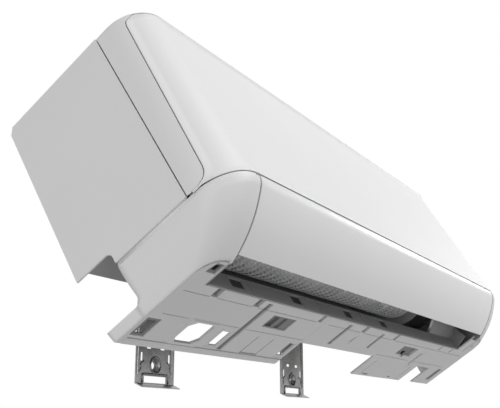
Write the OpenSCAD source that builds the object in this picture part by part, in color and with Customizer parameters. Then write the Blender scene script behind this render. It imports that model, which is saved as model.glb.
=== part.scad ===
// Indoor unit of a split air conditioner, hooked on its wall plate and swung out at the bottom
// Whole model: X to the right seen from the room, Y into the wall, Z up, and the wall is the plane Y = 0
// Pieces of the unit are drawn upright, with Y = 0 at the face, Y = unit_d at the back and Z = 0 at
// the bottom, and the module hung() then tilts them about the hooks of the wall plate

/* [Unit body] */
// Width of the body
unit_w = 910; // [890:1:940]
// Height of the body
unit_h = 294; // [290:1:304]
// Depth of the body at the lower edge of its face
unit_d = 206; // [204:1:212]
// Wall thickness of the plastic shells
shell_t = 2.5; // [2.2:0.1:2.8]
// Radius of the upright front corners
corner_r = 53; // [50:1:55]
// Forward lean of the face at its top edge
face_lean = 7; // [0:0.5:8]
// Height of the seam between the lower casing and the upper body
seam_z = 56; // [55:0.5:57]
// Side inset of the lower casing at the bottom
side_inset = 16.5; // [12:0.5:18]
// Gap between neighbouring shells
shell_gap = 0.8; // [0.6:0.1:1]
// Distance from each side of the body to the vane's end
vane_side = 54; // [52:1:60]
// Width of the pipe outlet in the side, front to back
outlet_d = 50; // [46:1:52]
// Height of the pipe channel above the bottom
channel_h = 71; // [68:1:72]

/* [Wall plate] */
// Thickness of the plate's sheet steel
plate_t = 1.2; // [1:0.1:1.4]
// Width of the plate
plate_w = 700; // [660:1:720]
// Height of the plate's upper web
plate_h = 90; // [84:1:96]
// Distance from the unit's middle to the middle of each leg
leg_x = 187; // [175:1:200]
// Width of each leg
leg_w = 81; // [76:1:86]
// Drop of the leg ends below the hook line
leg_drop = 269.6; // [262:0.5:272]
// Radius of the wall screw holes
screw_hole_r = 4.5; // [3:0.1:5]
// Forward reach of the lip at the foot of each leg
lip_reach = 11; // [6:0.5:12]

/* [Hanging] */
// Angle that the unit is swung out from the wall
swing_out = 32.8; // [0:0.1:40]
// Distance from the unit's back to the hook line
hook_back = 9.5; // [9.2:0.1:10]
// Drop of the hook line below the unit's top
hook_drop = 9; // [8.8:0.1:9.6]
// Radius of the bars that rest in the hooks
bar_r = 3; // [2.6:0.1:3]

/* [Air path] */
// Room between the front of the heat exchanger and the fan
fan_front_gap = 21; // [20:0.5:23]
// Room between the fan and the back of the unit
fan_back_gap = 42; // [40:0.5:44]
// Height of the fan's axis above the bottom
fan_z = 122; // [120:0.5:124]
// Distance from the body's left side to the fan
fan_left_gap = 60; // [60:1:70]
// Distance from the fan to the body's right side, for the motor, the pipes and the electric box
fan_right_gap = 194; // [190:1:200]
// Number of blades round the fan
fan_blades = 24; // [16:1:30]
// Number of fan segments
fan_segments = 8; // [6:1:10]
// Thickness of the heat exchanger's fin packs
coil_t = 25; // [20:1:26]
// Radius of the heat exchanger's tubes
coil_tube_r = 3.5; // [3:0.1:3.8]
// Radius of the gas pipe
gas_pipe_r = 6.35; // [5:0.05:7]
// Radius of the liquid pipe
liquid_pipe_r = 3.175; // [3:0.025:5]
// Thickness of each sideways louver
louver_t = 1.6; // [1.2:0.1:2]

/* [Hidden] */
LOUVERS = 10;
$fn = 48;

// Small sizes shared by several pieces
over = 1;              // overrun of a cut past the face it opens
seat_gap = 0.3;        // gap at a seat between two pieces
run_gap = 0.05;        // radial clearance of a running fit
lean_angle = swing_out;
half_w = unit_w / 2;

// Places of the hook line and of the unit on the wall
wall_gap = 0.5;
hook_gap = 0.3;
vane_len = unit_w - 2 * vane_side;
hook_y = unit_d - hook_back;
hook_z = unit_h - hook_drop;
row_hook_y = -hook_back - wall_gap;
row_hook_z = 75;
bar_seat_r = bar_r + hook_gap;
hook_out_r = bar_seat_r + plate_t;
sheet_front_y = row_hook_y + bar_seat_r;
sheet_back_y = sheet_front_y + plate_t;

// Front and underside profile that the vane and the lower casing share, in Y and Z
bend_r = 20;
bend_turn = 42;
arc_turn = 29.4;
turn_end = bend_turn + arc_turn;
bend_y = bend_r * (1 - cos(bend_turn));
bend_z = seam_z - bend_r * sin(bend_turn);
arc_chord = bend_z / cos(bend_turn + arc_turn / 2);
arc_r = arc_chord / (2 * sin(arc_turn / 2));

// Lower casing
low_top_inset = 1.5;
low_corner_r = 30;
corner_steps = 8;
bend_steps = 3;
arc_steps = 5;
vane_gap = 2;
vane_half = vane_len / 2;
bay_half = vane_half + vane_gap;
rail_y = 14;
rail_low_gap = 2;
rail_h = 22;
tab_y = 9;
tongue_d = 96;
tongue_y = 58;
tongue_z = 46;
tongue_h = 24;
notch_low = 10;
notch_r = 8;

// Bottom covers
bottom_t = 2.5;
cover_gap = 0.5;
crease_w = 0.7;
crease_deep = 0.6;
pocket_deep = 1.2;
lip_y = 107;
outlet_right_gap = 80;
outlet_right = half_w - outlet_right_gap;
cover_shares = [-0.1412, 0.1132, 0.3264, 0.3912];
cover_split = cover_shares[0] * unit_w;
cover_step_x = cover_shares[1] * unit_w;
tab_end_x = cover_shares[2] * unit_w;
cut_end_x = cover_shares[3] * unit_w;
cover_step_d = 46;
cover_step_y = unit_d - cover_step_d;
cut_d = 42;
cut_y = unit_d - cut_d;
cut_r = 8;
cover_front = 76;

// Panel
seam_back = 2.5;
seam_y = corner_r + seam_back;
panel_t = 3;
face_turn = 26.7;
panel_low_gap = 1;
roll_r = 4;
roll_in = 0.4;
roll_y = seam_y - roll_in - roll_r;
roll_z = unit_h - roll_r;
hinge_pin_r = 2;
ear_in = 75;
ear_x = half_w - ear_in;
ear_w = 8;
ear_gap = 0.8;
ear_arm_h = 4;
ear_root = 2;
pin_len = 34;
side_turn_gap = 0.4;

// Inlet at the top
inlet_front = 61;
inlet_back_gap = 18;
inlet_side = 35;
tray_t = 2;
tray_drop = 10.5;
floor_t = 3;
bar_w = 3;
bars_long = 5;
bars_cross = 21;
filter_h = 4;
filter_rim = 8;
mesh_t = 0.6;
filter_gap = 1;
filter_rib = 3;
filter_ribs = 5;

// Frame behind the unit
front_coil_y = 22;
back_wall_in = 18;
back_wall_y = unit_d - back_wall_in;
fan_r = (unit_d - front_coil_y - coil_t - fan_front_gap - fan_back_gap) / 2;
fan_y = unit_d - fan_back_gap - fan_r;
scroll_gap = 10;
scroll_r = fan_r + scroll_gap;
scroll_up_turn = 35;
scroll_down_turn = -55;
lip_wall_h = 23;
fan_left = -half_w + fan_left_gap;
fan_len = unit_w - fan_left_gap - fan_right_gap;
fan_right = fan_left + fan_len;
duct_in = 1.5;
duct_left = -bay_half + duct_in;
ear_plate_t = 3;
hook_w = 30;
hook_end = 30;
hook_out_x = plate_w / 2 - hook_end;
hook_xs = [-hook_out_x, -leg_x, leg_x, hook_out_x];
ear_r = 5;
ear_side_gap = 1.5;
end_wall_gap = 3;
channel_more = 6;
channel_y = unit_d - outlet_d - channel_more;
notch_w = 12;
notch_h = 9;
notch_z = 9;
notch_shares = [-0.3736, -0.2319, -0.0747, 0.056];
notch_xs = notch_shares * unit_w;
rear_tray_z = 158;
rear_tray_h = 5.4;
side_plate_t = 2;
side_plate_top_share = 0.9;

// Heat exchanger
coil_past_left = 3;
coil_past_right = 7;
coil_left = fan_left - coil_past_left;
coil_right = fan_right + coil_past_right;
front_coil_low = 74;
front_coil_drop = 86;
front_coil_top = unit_h - front_coil_drop;
upper_low_drop = 72;
upper_top_drop = 32;
upper_coil_shares = [0.1942, 0.4272];
upper_coil_a = [upper_coil_shares[0] * unit_d, unit_h - upper_low_drop];
upper_coil_b = [upper_coil_shares[1] * unit_d, unit_h - upper_top_drop];
rear_low_in = 32;
rear_low_gap = 3.947;
rear_top_share = 0.5437;
rear_top_drop = 24;
rear_low_y = unit_d - rear_low_in;
rear_coil_b = [rear_top_share * unit_d, unit_h - rear_top_drop];
rear_lean = atan((rear_low_y - rear_coil_b[0]) / (rear_coil_b[1] - rear_tray_z));
rear_coil_a = [rear_low_y, rear_tray_z + rear_low_gap + coil_t / 2 * sin(rear_lean)];
end_plate_t = 1;
tube_pitch = 21;

// Drain pan
pan_y = 17;
pan_back = 76.5;
pan_z = 66;
pan_t = 2.5;
pan_front_h = 20;
pan_back_h = 22;
pan_end_h = 14;
pan_seat_w = 8;
pan_seat_shares = [0.012, 0.4024, 0.7928, 0.9805];
pan_seat_xs = [for (s = pan_seat_shares) coil_left + s * (coil_right - coil_left)];

// Vane
pivot_y = 40;
pivot_z = 38;
vane_from_turn = 4;
vane_to_turn = 68;
vane_steps = 14;
vane_t = 2.4;
liner_t = 0.8;
liner_bulge = 5;
vane_pin_r = 3;
arm_t = 4;
arm_r = 6;
arm_from_turn = 28;
arm_to_turn = 52;
bush_r = 6;
flange_t = 1.5;
hanger_t = 4;
vane_motor_r = 11;
vane_motor_len = 18;
vane_motor_bore = 6;

// Louvers
louver_y = 60;
louver_top = 60;
louver_h = 17;
louver_front = 8;
louver_back = 27;
louver_cut_share = 0.7;
louver_pin_r = 1.8;
louver_pin_h = 4;
pin_root = 1;
rail_t = 4;
rail_d = 13;
louver_left_gap = 23;
louver_right_gap = 39;
louver_first = fan_left + louver_left_gap;
louver_pitch = (fan_len - louver_left_gap - louver_right_gap) / (LOUVERS - 1);
crank_past = 52;
crank_x = fan_right + crank_past;
link_arm = 16;
link_pin_r = 1.2;
link_t = 2;
link_w = 9;
link_gap = 0.6;
link_slot_x = 0.55;
link_dip = 2.2;
crank_w = 5;
crank_t = 2;
crank_shaft_h = 6;
louver_motor_r = 12;
louver_motor_h = 15;
louver_motor_bore = 7;

// Right hand end
motor_past = 14;
motor_left = fan_right + motor_past;
motor_len = 58;
motor_step = 8;
motor_r = fan_r - motor_step;
motor_boss_len = 6;
band_in = 14;
band_w = 7;
shaft_r = 4;
boss_r = 12;
hub_len = 9;
bush_len = 9;
bush_out_r = 14;
hub_hole_r = 20;
box_room = 6;
box_right = half_w - shell_t - seat_gap - side_plate_t - seat_gap;
box_y = 44;
box_behind = 28;
box_back = unit_d - box_behind;
box_z = 96;
box_drop = 22;
box_top = unit_h - box_drop;
box_t = 2;

// Pipes
gas_z = 52;
liquid_z = 28;
pipe_gap = 3;
pipe_room = 2;
gas_run = 145;
union_step = 40;
elbow_r = 22;
gas_thread_r = 9.5;
gas_hex_r = 13.9;
liquid_thread_r = 5.6;
liquid_hex_r = 9.8;
nut_len = 18;
nut_mouth = 10;
nut_neck = 2;

// Joins the points of a list of rings into one list
function joined(rings) = [for (ring = rings) for (p = ring) p];

// Closed skin through rings of points, lowest ring first, each counter-clockwise seen from above
module loft(rings) {
  n = len(rings[0]);
  m = len(rings);
  low_cap = [for (i = [0:n-1]) i];
  top_cap = [for (i = [n-1:-1:0]) (m - 1) * n + i];
  sides = [for (j = [0:m-2]) for (i = [0:n-1]) each [
    [j * n + i, (j + 1) * n + i, (j + 1) * n + (i + 1) % n],
    [j * n + i, (j + 1) * n + (i + 1) % n, j * n + (i + 1) % n]
  ]];
  polyhedron(points = joined(rings), faces = concat([low_cap, top_cap], sides));
}

// Extrudes an outline drawn in Y and Z between two places along X
module along_x(x0, x1) {
  translate([x0, 0, 0]) rotate([90, 0, 90]) linear_extrude(x1 - x0) children();
}

// Round bar along X
module bar_x(x0, x1, y, z, r) {
  translate([x0, y, z]) rotate([0, 90, 0]) cylinder(h = x1 - x0, r = r);
}

// Box between two corners
module block(a, b) {
  translate(a) cube(b - a);
}

// Puts a piece of the upright unit in its place on the hooks
module hung() {
  translate([0, row_hook_y, row_hook_z]) rotate([-lean_angle, 0, 0])
    translate([0, -hook_y, -hook_z]) children();
}

// Point of the shared profile where it has turned s degrees from upright, moved inwards by e
function profile(s, e = 0) =
  (s <= bend_turn
    ? [bend_r * (1 - cos(s)), seam_z - bend_r * sin(s)]
    : [bend_y + arc_r * (cos(bend_turn) - cos(s)), bend_z - arc_r * (sin(s) - sin(bend_turn))])
  + e * [cos(s), sin(s)];
profile_turns = concat(
  [for (i = [0:bend_steps-1]) bend_turn * i / bend_steps],
  [for (i = [0:arc_steps]) bend_turn + arc_turn * i / arc_steps]
);

// Plan outline of the lower casing where the profile has turned s degrees, moved inwards by e
function low_side(z) = low_top_inset + (side_inset - low_top_inset) * pow((seam_z - z) / seam_z, 2);
function low_radius(z) = low_corner_r + (corner_r - low_corner_r) * z / seam_z;
function low_outline(s, e, z, back) =
  let (p = profile(s, e), r = low_radius(z) - e, x = half_w - low_side(z) - e - r)
  concat(
    [[-x - r, back, z]],
    [for (i = [0:corner_steps]) let (a = 90 * i / corner_steps)
      [-x - r * cos(a), p[0] + r - r * sin(a), z]],
    [for (i = [corner_steps:-1:0]) let (a = 90 * i / corner_steps)
      [x + r * cos(a), p[0] + r - r * sin(a), z]],
    [[x + r, back, z]]
  );
function low_ring(s, e, back) = low_outline(s, e, max(profile(s, e)[1], 0), back);
module low_body() {
  loft([for (i = [len(profile_turns)-1:-1:0]) low_ring(profile_turns[i], 0, unit_d)]);
}
module low_hollow() {
  top = low_outline(0, shell_t, seam_z, unit_d + over);
  foot = low_outline(turn_end, shell_t, 0, unit_d + over);
  loft(concat(
    [[for (p = foot) [p[0], p[1], -over]]],
    [for (i = [len(profile_turns)-1:-1:1]) low_ring(profile_turns[i], shell_t, unit_d + over)],
    [[for (p = top) [p[0], p[1], seam_z + over]]]
  ));
}

// Outline of the pipe outlet in the side, in Y and Z, open to the back
module outlet_outline() {
  y0 = unit_d - outlet_d;
  translate([y0 + notch_r, notch_low]) square([outlet_d - notch_r + over, channel_h - notch_low]);
  translate([y0, notch_low + notch_r]) square([outlet_d, channel_h - notch_low - 2 * notch_r]);
  for (z = [notch_low + notch_r, channel_h - notch_r]) translate([y0 + notch_r, z]) circle(r = notch_r);
}
module outlet_cut() {
  along_x(-half_w - over, -half_w + side_inset + shell_t + over) outlet_outline();
}

// Forward lean of the panel at a height, and the panel's plan, drawn at the height of the seam
function lean_at(z) = face_lean * (z - seam_z) / (unit_h - seam_z);
module leant(low, high) {
  intersection() {
    translate([0, 0, seam_z]) rotate([atan(face_lean / (unit_h - seam_z)), 0, 0])
      translate([0, 0, -corner_r]) linear_extrude(unit_h) children();
    block([-unit_w, -corner_r, low], [unit_w, unit_h, high]);
  }
}
// Plan of the panel moved inwards by e, running back to y1
module panel_plan(e, y1) {
  x = half_w - corner_r;
  for (side = [-1, 1]) translate([side * x, corner_r]) circle(r = corner_r - e, $fn = 96);
  translate([-x, e]) square([2 * x, corner_r]);
  translate([-half_w + e, corner_r]) square([unit_w - 2 * e, y1 - corner_r]);
}
// Part of the plan that has turned at least so far from the sides towards the face
module front_wedge(turn) {
  x = half_w - corner_r;
  dx = 2 * corner_r * cos(turn);
  dy = 2 * corner_r * sin(turn);
  polygon([
    [-x, corner_r], [-x - dx, corner_r - dy], [-x - dx, -2 * corner_r],
    [x + dx, -2 * corner_r], [x + dx, corner_r - dy], [x, corner_r]
  ]);
}
panel_low = seam_z + panel_low_gap;
panel_tail = seam_y + face_lean + over;

// Wall plate
dimple_r = 10.5;
dimple_foot_r = 8;
leg_hole_up = 25;
web_top = 12;
upper_hole_drop = 20;
upper_hole_end = 100;
upper_hole_out = plate_w / 2 - upper_hole_end;
upper_hole_in = 95;
upper_hole_xs = [-upper_hole_out, -upper_hole_in, upper_hole_in, upper_hole_out];
pad_w = 64;
pad_h = 44;
window_ws = 96;
window_hs = 40;
window_up = 10;
window_end = 76;
window_xs = [window_end - plate_w / 2, plate_w / 2 - window_end];
bead_r = 1.6;
bead_in = 9;
bead_up = 12;
lip_fall = 5;
wall_hole_places = concat(
  [for (x = upper_hole_xs) [x, row_hook_z - web_top - upper_hole_drop]],
  [for (side = [-1, 1]) [side * leg_x, row_hook_z - leg_drop + leg_hole_up]]
);
// Pressed cup round a wall screw hole, from the sheet back to the wall
module dimple() {
  rotate([90, 0, 0]) rotate_extrude() polygon([
    [screw_hole_r, 0], [dimple_foot_r, 0], [dimple_r, -sheet_back_y], [dimple_r, -sheet_front_y],
    [dimple_r - plate_t, -sheet_front_y], [dimple_foot_r - plate_t, plate_t], [screw_hole_r, plate_t]
  ]);
}
module plate_sheet() {
  web_low = row_hook_z - web_top - plate_h;
  difference() {
    union() {
      translate([-plate_w / 2, web_low]) square([plate_w, plate_h]);
      for (side = [-1, 1]) translate([side * leg_x - leg_w / 2, row_hook_z - leg_drop])
        square([leg_w, leg_drop - web_top - plate_h / 2]);
    }
    for (p = wall_hole_places) translate(p) circle(r = dimple_r);
    translate([-pad_w / 2, -pad_h / 2]) square([pad_w, pad_h]);
    for (x = window_xs) translate([x - window_ws / 2, web_low + window_up]) square([window_ws, window_hs]);
    for (side = [-1, 1]) translate([side * leg_x, row_hook_z - leg_drop]) leg_cuts();
  }
}
leg_window_w = 46;
leg_window_h = 8.5;
leg_window_up = 2;
leg_slot_w = 4;
leg_slot_h = 11;
leg_slot_x = 29;
leg_slot_up = 35;
leg_eye_w = 9;
leg_eye_h = 4;
leg_eye_up = 46;
// Cuts at the foot of a leg, from the middle of its lower edge
module leg_cuts() {
  translate([-leg_window_w / 2, leg_window_up]) square([leg_window_w, leg_window_h]);
  for (side = [-1, 1]) {
    translate([side * leg_slot_x - leg_slot_w / 2, leg_slot_up - leg_slot_h / 2])
      square([leg_slot_w, leg_slot_h]);
    translate([side * leg_slot_x / 2 - leg_eye_w / 2, leg_eye_up]) square([leg_eye_w, leg_eye_h]);
  }
}
// Hook that carries a bar, in Y and Z about the hook line
module hook_outline() {
  difference() {
    circle(r = hook_out_r);
    circle(r = bar_seat_r);
    translate([-hook_out_r, 0]) square(2 * hook_out_r);
  }
  translate([-hook_out_r, 0]) square(plate_t);
  translate([bar_seat_r, -web_top]) square([plate_t, web_top]);
}
module mounting_plate() {
  foot_z = row_hook_z - leg_drop;
  color([0.62, 0.63, 0.64]) {
    translate([0, sheet_back_y, 0]) rotate([90, 0, 0]) linear_extrude(plate_t) plate_sheet();
    for (p = wall_hole_places) translate([p[0], 0, p[1]]) dimple();
    difference() {
      block([-pad_w / 2, sheet_front_y, -pad_h / 2], [pad_w / 2, 0, pad_h / 2]);
      block([-pad_w / 2 + plate_t, sheet_front_y - over, -pad_h / 2 + plate_t],
            [pad_w / 2 - plate_t, -plate_t, pad_h / 2 - plate_t]);
    }
    for (x = hook_xs) along_x(x - hook_w / 2, x + hook_w / 2)
      translate([row_hook_y, row_hook_z]) hook_outline();
    for (side = [-1, 1]) {
      along_x(side * leg_x - leg_w / 2, side * leg_x + leg_w / 2) polygon([
        [sheet_back_y, foot_z], [sheet_front_y - lip_reach, foot_z - lip_fall],
        [sheet_front_y - lip_reach, foot_z - lip_fall + plate_t], [sheet_front_y, foot_z + plate_t],
        [sheet_back_y, foot_z + plate_t]
      ]);
      for (edge = [-1, 1])
        translate([side * leg_x + edge * (leg_w / 2 - bead_in / 2), sheet_front_y, foot_z + bead_up])
          cylinder(h = leg_drop - web_top - plate_h / 2, r = bead_r);
    }
  }
}

// Bars of the unit that rest in the hooks
bar_reach = hook_w / 2 + ear_side_gap + ear_plate_t;
module hang_bars() {
  color([0.5, 0.5, 0.52]) hung() for (x = hook_xs)
    bar_x(x - bar_reach, x + bar_reach, hook_y, hook_z, bar_r);
}

// Point at a radius and an angle round the fan's axis, in Y and Z
function on_circle(r, a) = [fan_y + r * cos(a), fan_z + r * sin(a)];
scroll_steps = 12;
function scroll_arc(r) = [for (i = [0:scroll_steps])
  on_circle(r, scroll_up_turn + (scroll_down_turn - scroll_up_turn) * i / scroll_steps)];
// Wall that curls round the back of the fan and runs down to the lip of the outlet
module scroll_outline() {
  outer = scroll_arc(scroll_r + shell_t);
  polygon(concat(
    scroll_arc(scroll_r), [[lip_y, lip_wall_h], [lip_y + shell_t, lip_wall_h - shell_t]],
    [for (i = [scroll_steps:-1:0]) outer[i]]
  ));
}
module lip_outline() {
  translate([lip_y, bottom_t]) square([shell_t, lip_wall_h - bottom_t]);
}
module back_outline() {
  top = hook_z - hook_out_r - ear_r;
  translate([channel_y - shell_t, channel_h]) square([back_wall_y + 2 * shell_t - channel_y, shell_t]);
  translate([back_wall_y, channel_h]) square([shell_t, top - channel_h]);
}
module channel_outline() {
  translate([channel_y - shell_t, bottom_t]) square([shell_t, channel_h - bottom_t + shell_t]);
}
// Sloping wall that closes the outlet between the fan and its right end
blank_d = 43;
blank_rise = 29;
blank_low = [lip_y + shell_t, lip_wall_h - shell_t];
blank_top = [lip_y - blank_d, lip_wall_h + blank_rise];
module blank_outline() {
  polygon([blank_low, blank_top, blank_top + [0, shell_t], blank_low + [0, 2 * shell_t]]);
}
// Cheek at the right end of the outlet, clear of the vane's swing
cheek_low = [81, 11];
cheek_top_y = 88;
module cheek_outline() {
  slope = (blank_top[1] - blank_low[1]) / (blank_top[0] - blank_low[0]);
  polygon([
    cheek_low, [lip_y, bottom_t], [lip_y + shell_t, bottom_t], [lip_y + shell_t, lip_wall_h],
    [cheek_top_y, blank_low[1] + shell_t + slope * (cheek_top_y - blank_low[0])]
  ]);
}
// Tray under the rear of the heat exchanger
module rear_tray_outline() {
  y0 = on_circle(scroll_r, scroll_up_turn)[0];
  translate([y0, rear_tray_z - shell_t]) square([back_wall_y - y0, shell_t]);
  translate([y0, rear_tray_z - shell_t]) square([shell_t, rear_tray_h]);
}
fan_end_rim = 1;
module fan_end_outline() {
  difference() {
    translate([fan_y, fan_z]) circle(r = scroll_r + shell_t + fan_end_rim);
    translate([pan_back + shell_gap - 2 * scroll_r, 0]) square([2 * scroll_r, unit_h]);
  }
}
module bar_ear_outline() {
  low = hook_z - hook_out_r - 2 * ear_r;
  translate([hook_y, hook_z]) circle(r = ear_r);
  polygon([[back_wall_y, low], [back_wall_y + shell_t, low], [hook_y + ear_r, hook_z],
    [hook_y - ear_r, hook_z], [back_wall_y, hook_z - ear_r]]);
}
module base_frame() {
  wall_half = half_w - shell_t - seat_gap;
  channel_half = half_w - side_inset - shell_t - cover_gap;
  duct_right = fan_right + end_wall_gap + shell_t;
  color([0.80, 0.81, 0.82]) hung() difference() {
    union() {
      along_x(duct_left, duct_right) scroll_outline();
      along_x(duct_left, outlet_right) lip_outline();
      along_x(-wall_half, wall_half) back_outline();
      along_x(-channel_half, channel_half) channel_outline();
      along_x(duct_right - shell_t, outlet_right) blank_outline();
      along_x(outlet_right, outlet_right + shell_t) cheek_outline();
      along_x(duct_left, fan_right) rear_tray_outline();
      for (x = [-wall_half, wall_half - side_plate_t]) translate([x, 0, 0])
        block([0, back_wall_y - rail_h, channel_h],
          [side_plate_t, back_wall_y + shell_t, unit_h * side_plate_top_share]);
      for (x = [duct_left - shell_t, duct_right - shell_t]) along_x(x, x + shell_t) fan_end_outline();
      for (x = hook_xs) for (x0 = [x - bar_reach, x + bar_reach - ear_plate_t])
        along_x(x0, x0 + ear_plate_t) bar_ear_outline();
    }
    for (x = hook_xs) bar_x(x - bar_reach - over, x + bar_reach + over, hook_y, hook_z, bar_r);
    for (x = notch_xs) block([x - notch_w / 2, lip_y - over, notch_z],
      [x + notch_w / 2, lip_y + shell_t + over, notch_z + notch_h]);
    block([gas_pipe_x - gas_pipe_r - pipe_room, liquid_yz[0] - gas_pipe_r - pipe_room, channel_h - over],
      [liquid_pipe_x + gas_pipe_r, gas_yz[0] + gas_pipe_r + pipe_room, channel_h + shell_t + over]);
    bar_x(duct_left - shell_t - over, duct_left + over, fan_y, fan_z, bush_out_r);
    bar_x(fan_right, duct_right + over, fan_y, fan_z, hub_hole_r);
  }
}

// Upper casing
chamfer_y = 6.2;
chamfer_z = 8.2;
module casing_section(e) {
  y0 = seam_y + shell_gap;
  low = seam_z + shell_gap;
  polygon(e == 0
    ? [[y0, low], [unit_d, low], [unit_d, unit_h - chamfer_z], [unit_d - chamfer_y, unit_h], [y0, unit_h]]
    : [[y0 - over, low - over], [unit_d + over, low - over], [unit_d + over, unit_h - chamfer_z - over],
       [unit_d - e, unit_h - chamfer_z - over], [unit_d - e, unit_h - chamfer_z],
       [unit_d - chamfer_y - e / 2, unit_h - e], [y0 - over, unit_h - e]]);
}
inlet_back = unit_d - inlet_back_gap;
module ear_outline() {
  translate([roll_y, roll_z]) circle(r = roll_r - ear_gap / 4);
  translate([roll_y, roll_z - ear_arm_h / 2])
    square([seam_y + shell_gap + ear_root - roll_y, ear_arm_h]);
}
module upper_casing() {
  color([0.87, 0.87, 0.87]) hung() difference() {
    union() {
      difference() {
        along_x(-half_w, half_w) casing_section(0);
        along_x(-half_w + shell_t, half_w - shell_t) casing_section(shell_t);
        block([-half_w + inlet_side, inlet_front, unit_h - shell_t - over],
          [half_w - inlet_side, inlet_back, unit_h + over]);
      }
      for (side = [-1, 1]) along_x(side * ear_x - ear_w / 2, side * ear_x + ear_w / 2) ear_outline();
    }
    bar_x(-half_w, half_w, roll_y, roll_z, hinge_pin_r + run_gap);
    outlet_cut();
  }
}

// Inlet tray with its bars, under the top of the casing
tray_rim = 5;
tray_x = half_w - inlet_side + tray_rim;
tray_low = unit_h - tray_drop;
module top_grille() {
  y0 = inlet_front - tray_t;
  y1 = inlet_back + tray_t;
  top = unit_h - shell_t;
  color([0.78, 0.79, 0.8]) hung() {
    difference() {
      block([-tray_x, y0, tray_low], [tray_x, y1, top]);
      block([-tray_x + tray_t, y0 + tray_t, tray_low - over], [tray_x - tray_t, y1 - tray_t, top + over]);
    }
    for (i = [1:bars_long]) let (y = y0 + (y1 - y0) * i / (bars_long + 1))
      block([-tray_x + tray_t / 2, y - bar_w / 2, tray_low],
        [tray_x - tray_t / 2, y + bar_w / 2, tray_low + floor_t]);
    for (i = [1:bars_cross]) let (x = -tray_x + 2 * tray_x * i / (bars_cross + 1))
      block([x - bar_w / 2, y0 + tray_t / 2, tray_low],
        [x + bar_w / 2, y1 - tray_t / 2, tray_low + floor_t]);
  }
}

// Filters that lie on the tray and lift out upwards
filter_z = tray_low + floor_t + seat_gap;
filter_outer_x = half_w - inlet_side - filter_gap;
filter_inner_x = filter_gap / 2;
module filter_frame(side) {
  y0 = inlet_front + filter_gap;
  y1 = inlet_back - filter_gap;
  w = filter_outer_x - filter_inner_x;
  translate([side > 0 ? filter_inner_x : -filter_outer_x, 0, filter_z]) {
    difference() {
      block([0, y0, 0], [w, y1, filter_h]);
      block([filter_rim, y0 + filter_rim, -over], [w - filter_rim, y1 - filter_rim, filter_h + over]);
    }
    for (i = [1:filter_ribs]) let (x = w * i / (filter_ribs + 1))
      block([x - filter_rib / 2, y0 + filter_rim / 2, filter_h / 2],
        [x + filter_rib / 2, y1 - filter_rim / 2, filter_h]);
  }
}
module filter_mesh(side) {
  y0 = inlet_front + filter_gap + filter_rim;
  y1 = inlet_back - filter_gap - filter_rim;
  w = filter_outer_x - filter_inner_x;
  x0 = side > 0 ? filter_inner_x : -filter_outer_x;
  block([x0 + filter_rim, y0, filter_z + filter_h / 2 - mesh_t],
    [x0 + w - filter_rim, y1, filter_z + filter_h / 2]);
}
module filter_left() { color([0.86, 0.87, 0.88]) hung() filter_frame(-1); }
module filter_right() { color([0.86, 0.87, 0.88]) hung() filter_frame(1); }
module filter_mesh_left() { color([0.45, 0.48, 0.5]) hung() filter_mesh(-1); }
module filter_mesh_right() { color([0.45, 0.48, 0.5]) hung() filter_mesh(1); }

// Lower casing
module lower_casing() {
  web_y = rail_y + shell_t;
  rail_low = seam_z + rail_low_gap;
  tongue_x = half_w - shell_t - seat_gap - shell_t / 2;
  color([0.9, 0.9, 0.9]) hung() difference() {
    union() {
      difference() {
        low_body();
        low_hollow();
        block([-bay_half, -over, -over], [bay_half, lip_y, seam_z + over]);
      }
      intersection() {
        low_body();
        for (x = [-bay_half - shell_t, bay_half]) translate([x, 0, 0])
          block([0, -over, 0], [shell_t, lip_y, seam_z]);
      }
      block([-bay_half - shell_t, rail_y, rail_low], [bay_half + shell_t, web_y, rail_low + rail_h]);
      for (x = [-bay_half - shell_t, bay_half]) translate([x, 0, 0])
        block([0, tab_y, seam_z - shell_t], [shell_t, tongue_y, rail_low + rail_h]);
      for (side = [-1, 1]) translate([side * tongue_x - shell_t / 2, 0, 0])
        block([0, tongue_y, tongue_z], [shell_t, tongue_y + tongue_d, tongue_z + tongue_h]);
    }
    outlet_cut();
    screw_shanks();
    bar_x(-bay_half - shell_t - over, bay_half + shell_t + over, pivot_y, pivot_z, bush_r + run_gap);
  }
}

// Bottom covers, drawn in plan
module bottom_plan() {
  ring = low_outline(turn_end, shell_t + cover_gap / 2, 0, unit_d);
  difference() {
    polygon([for (p = ring) [p[0], p[1]]]);
    translate([-bay_half - shell_t - cover_gap, 0])
      square([bay_half + shell_t + cover_gap + outlet_right, lip_y]);
    translate([outlet_right - over, 0]) square([bay_half - outlet_right + over, cover_front]);
    translate([bay_half - cover_gap, 0]) square([shell_t + 2 * cover_gap, lip_y + cover_gap]);
  }
}
// Places in plan as shares of the body's width from the left and of its depth from the front
hole_shares = [[0.099, 0.146, 0.767, 0.932], [0.170, 0.188, 0.80, 0.922], [0.336, 0.352, 0.80, 0.922],
  [0.030, 0.048, 0.806, 0.927]];
right_hole_shares = [[0.777, 0.783, 0.655, 0.80], [0.700, 0.728, 0.665, 0.74]];
groove_shares = [[0.195, 0.206, 0.553, 0.946], [0.249, 0.251, 0.80, 0.946], [0.286, 0.288, 0.80, 0.946]];
right_groove_shares = [[0.428, 0.439, 0.553, 0.743], [0.553, 0.563, 0.553, 0.743],
  [0.483, 0.485, 0.63, 0.69], [0.944, 0.946, 0.796, 0.932]];
pocket_shares = [[0.231, 0.290, 0.607, 0.728]];
right_pocket_shares = [[0.676, 0.743, 0.612, 0.738], [0.65, 0.695, 0.95, 0.975]];
slot_shares = [[0.081, 0.095], [0.169, 0.182], [0.337, 0.347], [0.480, 0.492], [0.605, 0.615],
  [0.822, 0.830], [0.882, 0.890]];
slot_d = 12;
crease_back_share = 0.752;
crease_front_share = 0.583;
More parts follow.
